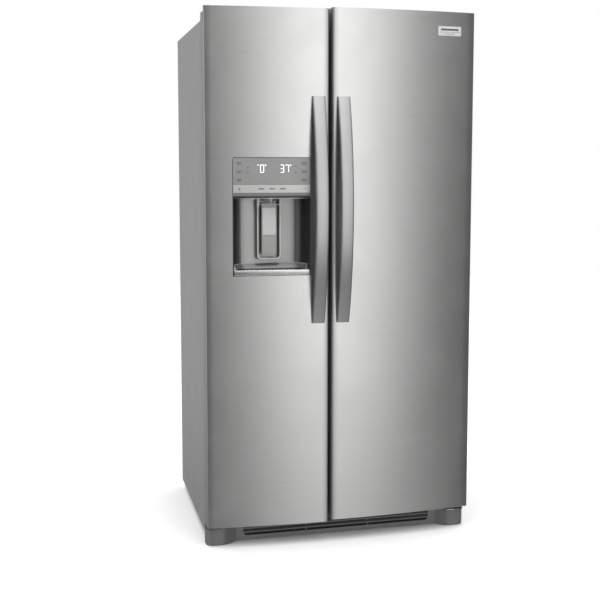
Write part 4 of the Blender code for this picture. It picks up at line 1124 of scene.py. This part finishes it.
def makeBinTrims():
    # frosted band and bright strip along the front of each door bin, ribs inside
    for node in binNodes:
        x, y, z = spansOf(node)
        bm = bmesh.new()
        outline = roundedOutline((x[0] - 0.0006, x[1] + 0.0006), (y[0] + 0.004, y[1] + 0.0006), 0.0146, 8)
        inner = roundedOutline(inside(x, 0.0036), (y[0] + 0.008, y[1] - 0.0036), 0.0106, 8)
        rings = []
        for line, height in ((outline, z[1] - binLook["rimHeight"]), (outline, z[1] + 0.0008),
                (inner, z[1] + 0.0008), (inner, z[1] - binLook["rimHeight"])):
            rings.append(levelRing(bm, line, height))
        skinLooped(bm, rings)
        finished(node + "_rim", bm, "frostWhite", bodyOf[node], soft=0.0007, slot="white_liner")
        finishedBox(node + "_strip", inside(x, 0.022), (y[1] + 0.0002, y[1] + 0.0014),
            (z[1] - 0.0085, z[1] - 0.0040), "trimSteel", bodyOf[node], soft=0.0003, slot="stainless")
        pitch = (x[1] - x[0] - 0.06) / (binLook["ribs"] - 1)
        repeated(node + "_ribs", barRow, bodyOf[node], "clearBin", slot="clear_plastic",
            First=(x[0] + 0.03, middle(inside(y, 0.003)), z[0] + 0.0036), Step=(pitch, 0.0, 0.0),
            Count=binLook["ribs"], Size=(0.0016, y[1] - y[0] - 0.012, 0.0016))


def makeDrawerDetails():
    # handle bar under the finger lip, runners along the sides
    for node in ("crisper_upper", "crisper_lower", "freezer_basket_upper", "freezer_basket_lower"):
        x, y, z = spansOf(node)
        finishedBox(node + "_pull", inside(x, 0.002), (y[0] - 0.0008, y[0] + 0.0012),
            (z[1] - 0.0055, z[1] + 0.0004), "trimSteel", bodyOf[node], soft=0.0004, slot="stainless")
        bm = bmesh.new()
        for wall, out in ((x[0] + 0.004, -1), (x[1] - 0.004, 1)):
            run = sorted((wall, wall + out * 0.003))
            addBox(bm, run, (y[0] + 0.020, y[1] - 0.004), (z[1] - 0.0235, z[1] - 0.0165))
        finished(node + "_runners", bm, "frostWhite", bodyOf[node], soft=0.0005, slot="white_liner")
        count = 13
        pitch = (x[1] - x[0] - 0.04) / (count - 1)
        repeated(node + "_ribs", barRow, bodyOf[node], "frostWhite", slot="white_liner",
            First=(x[0] + 0.02, y[0] + 0.0072, middle(z) - 0.004), Step=(pitch, 0.0, 0.0), Count=count,
            Size=(0.0018, 0.0014, (z[1] - z[0]) * 0.62))


def makeIceMaker():
    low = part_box("ice_maker")[0]
    # ejector fingers over the mould and the wire that feels how full the bin is
    repeated("ice_ejector_fingers", barRow, "cabinet", "frostWhite", slot="white_liner", soft=0.0004,
        First=(-0.325, 0.1650, 1.6320), Step=(0.0295, 0.0, 0.0), Count=7, Size=(0.0040, 0.0420, 0.0100),
        Turn=turned(x=28))
    bm = bmesh.new()
    route = smoothLine([(-0.346, 0.128, 1.585), (-0.346, 0.118, 1.570), (-0.340, 0.112, 1.528),
        (-0.300, 0.110, 1.510), (-0.190, 0.110, 1.510), (-0.150, 0.112, 1.528), (-0.142, 0.122, 1.570)], 5)
    addPipe(bm, route, 0.0016, 8)
    finished("ice_level_wire", bm, "screwSteel", "cabinet", slot="zinc_steel")
    finishedPrism("ice_motor_cover", roundedOutline((-0.3835, -0.3465), (1.5450, 1.6400), 0.006), "Y",
        (low.y - 0.0035, low.y + 0.001), "frostWhite", "cabinet", soft=0.001, slot="white_liner")
    x, y, z = spansOf("ice_bin")
    finishedPrism("ice_bin_grip", roundedOutline(inside(x, 0.050), (z[1] - 0.060, z[1] - 0.034), 0.011), "Y",
        (y[0] - 0.0032, y[0] + 0.0005), "frostWhite", "ice_bin", soft=0.0012, slot="white_liner")
    # auger that feeds the outlet
    bm = bmesh.new()
    addTurned(bm, [(0.0, y[0] + 0.020), (0.0045, y[0] + 0.020), (0.0045, y[1] - 0.020), (0.0, y[1] - 0.020)],
        (panelCentre, z[0] + 0.034), "Y", 16)
    turns, stepsEach, radius = 5, 18, 0.024
    coil = []
    for i, along in enumerate(stepsBetween(*inside(y, 0.025), turns * stepsEach + 1)):
        a = 2 * math.pi * i / stepsEach
        coil.append((panelCentre + radius * math.cos(a), along, z[0] + 0.034 + radius * math.sin(a)))
    addPipe(bm, coil, 0.0022, 8)
    finished("ice_auger", bm, "screwSteel", "ice_bin", slot="zinc_steel")


def makeControlHousing():
    x, y, z = spansOf("control_housing")
    bm = bmesh.new()
    section = [(y[0], z[0] + 0.040), (y[0] + 0.006, z[0] + 0.022), (y[0] + 0.018, z[0] + 0.0125),
        (y[0] + 0.040, z[0] + 0.010), (0.135, z[0] + 0.001), (0.155, z[0] + 0.0035),
        (y[1] - 0.010, z[0] + 0.010), (y[1], z[0] + 0.020), (y[1], z[1]), (y[0], z[1])]
    addPrism(bm, section, "X", x)
    finished("control_housing_cover", bm, "linerWhite", "cabinet", soft=0.0022, segments=3,
        slot="white_liner", stands=("control_housing",), corners=30)
    slope = -0.0515
    bm = bmesh.new()
    for left in (x[0] + 0.040, x[0] + 0.200):
        lens = rectangleOutline((left, left + 0.115), (-0.080, -0.030))
        zs = [z[0] + 0.0092 + slope * (v + 0.110) for _, v in lens]
        skinCapped(bm, [[bm.verts.new((u, v, h + rise)) for (u, v), h in zip(lens, zs)] for rise in (-0.0028,
            0.002)])
    finished("lamp_lenses", bm, "lampLens", "cabinet", soft=0.0009, slot="white_liner")
    repeated("housing_air_bars", barRow, "cabinet", "frostWhite", slot="white_liner", soft=0.0004,
        First=(x[0] + 0.035, y[0] + 0.0030, z[0] + 0.0290), Step=(0.012, 0.0, 0.0), Count=25,
        Size=(0.0050, 0.0030, 0.0160), Turn=turned(x=18))
    # water filter cartridge with its turning cap
    bm = bmesh.new()
    centre = (0.391, 1.660)
    addTurned(bm, [(0.0, -0.108), (0.0150, -0.108), (0.0160, -0.105), (0.0160, -0.096), (0.0140, -0.094),
        (0.0140, 0.060), (0.0, 0.060)], centre, "Y", 36)
    addBox(bm, around(centre[0], 0.0125), (-0.1125, -0.106), around(centre[1], 0.0022))
    finished("water_filter", bm, "frostWhite", "cabinet", soft=0.0006, slot="white_liner")


def makeFreezerDetails():
    coverY = spanOf("evaporator_cover", "y")
    fan = (-0.245, 0.975)
    # rings of the fan guard
    bm = bmesh.new()
    for radius in (0.020, 0.031, 0.042, 0.053):
        rings = []
        for a in stepsBetween(0, 2 * math.pi * 35 / 36, 36):
            out = Vector((math.cos(a), 0, math.sin(a)))
            point = Vector((fan[0], coverY[0] + 0.0008, fan[1])) + radius * out
            across = [out, Vector((0, 1, 0)), -out, Vector((0, -1, 0))]
            rings.append([bm.verts.new(point + 0.0013 * way) for way in across])
        skinLooped(bm, rings)
    finished("fan_guard_rings", bm, "frostWhite", "cabinet", slot="white_liner")
    repeated("freezer_return_bars", barRow, "cabinet", "linerWhite", slot="white_liner", soft=0.0004,
        First=(-0.3600, coverY[0] - 0.0010, 0.3800), Step=(0.0230, 0.0, 0.0), Count=11,
        Size=(0.0040, 0.0024, 0.0720))
    finishedPrism("freezer_lamp_lens", roundedOutline((-0.300, -0.190), (1.165, 1.205), 0.006), "Y",
        (0.3150, 0.3195), "lampLens", "cabinet", soft=0.001, slot="white_liner")
    # air outlet tower on the fresh food side's back wall
    finishedPrism("air_tower", roundedOutline((0.140, 0.256), (0.640, 1.600), 0.010), "Y", (0.3110, 0.3185),
        "linerWhite", "cabinet", soft=0.0022, segments=3, slot="white_liner")
    # dark bars on the tower's face are painted shade standing in for its air slots, which are not cut
    for k, height in enumerate((0.760, 1.010, 1.260, 1.500)):
        repeated(f"air_tower_slot_shades_{k}", barRow, "cabinet", "markGrey", slot="grey_moulding",
            First=(0.160, 0.3108, height), Step=(0.0127, 0.0, 0.0), Count=7, Size=(0.0060, 0.0010, 0.0260))


for shelf in ("fresh_shelf_upper", "fresh_shelf_middle", "fresh_shelf_lower", "crisper_shelf",
        "freezer_shelf_upper", "freezer_shelf_lower"):
    makeShelf(shelf)
makeBinTrims()
makeDrawerDetails()
makeIceMaker()
makeControlHousing()
makeFreezerDetails()
print("inside done")

# ---- cooling parts and the back


def makeCompressor():
    centre = (0.290, 0.270)
    low, high = spanOf("compressor", "z")
    bm = bmesh.new()
    radius = 0.0800
    profile = [(0.0, low), (0.045, low), (0.070, low + 0.012), (radius - 0.001, low + 0.030),
        (radius - 0.001, low + 0.075)]
    profile += [(radius, low + 0.0755), (radius, low + 0.0805), (radius - 0.001, low + 0.081),
        (radius - 0.001, 0.150)]
    for a in stepsBetween(0.12, 1.45, 11):
        profile.append(((radius - 0.001) * math.cos(a), 0.150 + (high - 0.150) * math.sin(a)))
    profile += [(0.0, high)]
    addTurned(bm, profile, centre, "Z", 48)
    finished("compressor_shell", bm, "blackEnamel", "cabinet", slot="black_enamel", stands=("compressor",))
    finishedPrism("compressor_terminal_box", roundedOutline((0.362, 0.384), (0.085, 0.135), 0.004), "Y",
        (0.240, 0.300), "softBlack", "cabinet", soft=0.001, slot="black_plastic")
    bm = bmesh.new()
    for dx, dy in ((-0.062, -0.060), (0.062, -0.060), (-0.062, 0.060), (0.062, 0.060)):
        place = (centre[0] + dx, centre[1] + dy)
        addTurned(bm, [(0.0, 0.0385), (0.012, 0.0385), (0.012, 0.046), (0.009, 0.049), (0.009, 0.052),
            (0.012, 0.055), (0.012, 0.060), (0.0, 0.060)], place, "Z", 20)
    finished("compressor_mounts", bm, "gasketRubber", "cabinet", slot="gasket_rubber")
    bm = bmesh.new()
    suction = smoothLine([(0.228, 0.300, 0.120), (0.205, 0.318, 0.118), (0.180, 0.335, 0.135),
        (0.170, 0.345, 0.200), (0.168, 0.350, 0.262)], 6)
    addPipe(bm, suction, 0.0040, 12)
    discharge = smoothLine([(0.236, 0.224, 0.100), (0.205, 0.205, 0.092), (0.150, 0.196, 0.080),
        (0.100, 0.182, 0.070)], 6)
    addPipe(bm, discharge, 0.0030, 12)
    finished("refrigerant_pipes", bm, "copperPipe", "cabinet", slot="coil_metal")


def makeCoilFins():
    x, y, z = spansOf("evaporator")
    count = 34
    repeated("evaporator_fins", barRow, "cabinet", "finAluminium", slot="coil_metal",
        First=(x[0] + 0.020, middle(y), middle(z)), Step=((x[1] - x[0] - 0.040) / (count - 1), 0.0, 0.0),
        Count=count, Size=(0.0004, y[1] - y[0] + 0.010, z[1] - z[0] + 0.010))
    x, y, z = spansOf("condenser")
    for k in range(4):
        height = z[0] + 0.0035 + (z[1] - z[0] - 0.007) * k / 3
        repeated(f"condenser_wires_{k}", rodRow, "cabinet", "blackEnamel", slot="black_enamel",
            First=(x[0] + 0.012, middle(y), height + 0.0045), Step=(0.0105, 0.0, 0.0), Count=22,
            Radius=0.0009, Length=y[1] - y[0], Turn=turned(x=90))
    bm = bmesh.new()
    centre = (0.128, 0.270, 0.125)
    addTurned(bm, [(0.0, 0.116), (0.022, 0.116), (0.026, 0.120), (0.026, 0.150), (0.022, 0.154),
        (0.0, 0.154)], (centre[1], centre[2]), "X", 32)
    finished("condenser_fan_motor", bm, "softBlack", "cabinet", slot="black_plastic")


def makeBack():
    x, y, z = spansOf("back_panel")
    bm = bmesh.new()
    addBox(bm, x, (y[0], y[1] - 0.0008), z)
    # pressed stiffening beads
    for left, right in ((x[0] + 0.050, x[0] + 0.255), inside(x, 0.345), (x[1] - 0.255, x[1] - 0.050)):
        for low in stepsBetween(z[0] + 0.08, z[1] - 0.30, 5):
            addPrism(bm, roundedOutline((left, right), (low, low + 0.014), 0.0068), "Y", around(y[1], 0.0012))
    finished("back_sheet", bm, "rearSheet", "cabinet", soft=0.0006, segments=3, slot="rear_board",
        stands=("back_panel",))
    edgePoints = [(u, y[1] - 0.0008, w) for w in inside(z, 0.012) for u in stepsBetween(*inside(x, 0.02), 7)]
    edgePoints += [(u, y[1] - 0.0008, w) for u in inside(x, 0.012) for w in stepsBetween(*inside(z, 0.15), 8)]
    repeated("back_sheet_screws", screwHeads, "cabinet", "screwSteel", points=edgePoints, slot="zinc_steel",
        Radius=0.0038, Turn=turned(x=-90))
    cx, cy, cz = spansOf("machine_cover")
    rim = [(u, cy[0] + 0.0025, w) for w in inside(cz, 0.008) for u in stepsBetween(*inside(cx, 0.03), 6)]
    repeated("machine_cover_screws", screwHeads, "cabinet", "screwSteel", points=rim, slot="zinc_steel",
        Radius=0.0038, Turn=turned(x=-90))
    # water inlet and the grommet for the power lead
    finishedPrism("water_valve_body", roundedOutline((0.375, 0.425), (0.235, 0.285), 0.006), "Y",
        (cy[0] + 0.0008, cy[1] - 0.006), "softBlack", "cabinet", soft=0.0012, slot="black_plastic")
    finishedTurning("water_inlet_thread", [(0.0, cy[1] - 0.008), (0.0095, cy[1] - 0.008),
        (0.0095, cy[1] - 0.003), (0.0075, cy[1] - 0.002), (0.0075, cy[1] + 0.005), (0.0050, cy[1] + 0.006),
        (0.0, cy[1] + 0.004)], (0.400, 0.260), "Y", 28, "copperPipe", "cabinet", slot="coil_metal")
    finishedTurning("lead_grommet", [(0.0, cy[0] + 0.0005), (0.013, cy[0] + 0.0005), (0.013, cy[0] + 0.004),
        (0.010, cy[0] + 0.006), (0.009, cy[0] + 0.010), (0.004, cy[0] + 0.010), (0.0, cy[0] + 0.004)],
        (-0.435, 0.075), "Y", 28, "gasketRubber", "cabinet", slot="gasket_rubber")


makeCompressor()
makeCoilFins()
makeBack()
print("cooling parts and back done")

# ---- floor, light and camera

studio = {
    "floorSize": 14.0,
    # upright strips of light: degrees from straight ahead of the doors towards +X, width, level
    "strips": ((13.8, 7.2, 2.1), (-30.0, 7.0, 0.22), (-55.0, 12.0, 0.45), (88.0, 12.0, 0.30),
               (-95.0, 22.0, 0.56), (105.0, 22.0, 0.56), (180.0, 35.0, 0.7), (-180.0, 35.0, 0.7)),
    "baseLevel": 0.05,
    "topLevel": 1.10,
    "bounceLevel": 0.45,  # light coming back up from the floor
}
viewpoint = {"place": (-0.943, -3.599, 1.282), "yaw": 13.64, "pitch": 5.70, "lens": 61.97, "rise": -0.06}


def makeFloor():
    half = studio["floorSize"] / 2
    bm = bmesh.new()
    grid = stepsBetween(-half, half, 9)
    rows = [[bm.verts.new((u, v, 0.0)) for u in grid] for v in grid]
    for low, high in zip(rows, rows[1:]):
        for i in range(len(grid) - 1):
            bm.faces.new((low[i], low[i + 1], high[i + 1], high[i]))
    mesh = bpy.data.meshes.new("floor")
    bm.to_mesh(mesh)
    bm.free()
    newFinish("paleFloor", Roughness=0.9, Base_Color=(0.90, 0.90, 0.90, 1.0))
    mesh.materials.append(finishes["paleFloor"])
    floor = newObject("floor", mesh)
    floor.visible_glossy = False


def lobe(tree, azimuth, centre, width, level):
    # a soft upright strip of light at one azimuth, in degrees
    off = mathNode(tree, "SUBTRACT", azimuth, centre)
    square = mathNode(tree, "MULTIPLY", off, off)
    spread = mathNode(tree, "MULTIPLY", square, -0.5 / width**2)
    fall = mathNode(tree, "EXPONENT", spread)
    return mathNode(tree, "MULTIPLY", fall, level)


def makeStudioWorld():
    world = bpy.data.worlds.new("studio")
    scene.world = world
    world.use_nodes = True
    tree = world.node_tree
    background = tree.nodes["Background"]
    axes = splitAxes(tree, addNode(tree, "ShaderNodeTexCoord").outputs["Generated"])
    ahead = mathNode(tree, "MULTIPLY", axes["Y"], -1.0)
    azimuth = mathNode(tree, "MULTIPLY", mathNode(tree, "ARCTAN2", axes["X"], ahead), 180 / math.pi)
    total = lobe(tree, azimuth, *studio["strips"][0])
    for strip in studio["strips"][1:]:
        total = mathNode(tree, "ADD", total, lobe(tree, azimuth, *strip))
    total = mathNode(tree, "ADD", total, studio["baseLevel"])
    # the strips fade towards the floor, a broad light hangs overhead and the floor sends some back
    fade = valueRamp(tree, axes["Z"], 0.14, 1.0, -0.37, -0.18, "SMOOTHSTEP")
    top = valueRamp(tree, axes["Z"], 0.0, studio["topLevel"], 0.35, 0.85, "SMOOTHSTEP")
    bounce = valueRamp(tree, axes["Z"], studio["bounceLevel"], 0.0, -0.64, -0.40, "SMOOTHSTEP")
    total = mathNode(tree, "MULTIPLY", total, fade)
    total = mathNode(tree, "ADD", mathNode(tree, "ADD", total, top), bounce)
    # the camera sees plain white
    choose = addNode(tree, "ShaderNodeMix", {"data_type": "FLOAT"})
    seen = addNode(tree, "ShaderNodeLightPath").outputs["Is Camera Ray"]
    for socket, value in zip((choose.inputs[0], choose.inputs[2], choose.inputs[3]), (seen, total, 1.0)):
        feed(tree, socket, value)
    feed(tree, background.inputs["Strength"], choose.outputs[0])
    background.inputs["Color"].default_value = (1.0, 1.0, 1.0, 1.0)


def addSoftbox(name, place, target, size, power):
    light = bpy.data.lights.new(name, "AREA")
    light.shape = "RECTANGLE"
    light.size, light.size_y = size
    light.energy = power
    obj = newObject(name, light)
    obj.location = place
    obj.rotation_euler = (Vector(target) - Vector(place)).to_track_quat("-Z", "Y").to_euler()
    obj.visible_glossy = False


def makeCamera():
    data = bpy.data.cameras.new("camera")
    data.lens = viewpoint["lens"]
    data.shift_y = viewpoint["rise"]
    camera = newObject("camera", data)
    camera.location = viewpoint["place"]
    camera.rotation_euler = (math.radians(90 - viewpoint["pitch"]), 0.0, -math.radians(viewpoint["yaw"]))
    scene.camera = camera


makeFloor()
makeStudioWorld()
addSoftbox("overhead", (0.0, -1.0, 4.2), (0.0, 0.0, 0.4), (4.0, 4.0), 80.0)
addSoftbox("leftFill", (-3.6, -0.6, 2.2), (0.0, 0.0, 0.9), (2.4, 2.4), 14.0)
makeCamera()
scene.view_settings.view_transform = "Standard"
print("studio done")
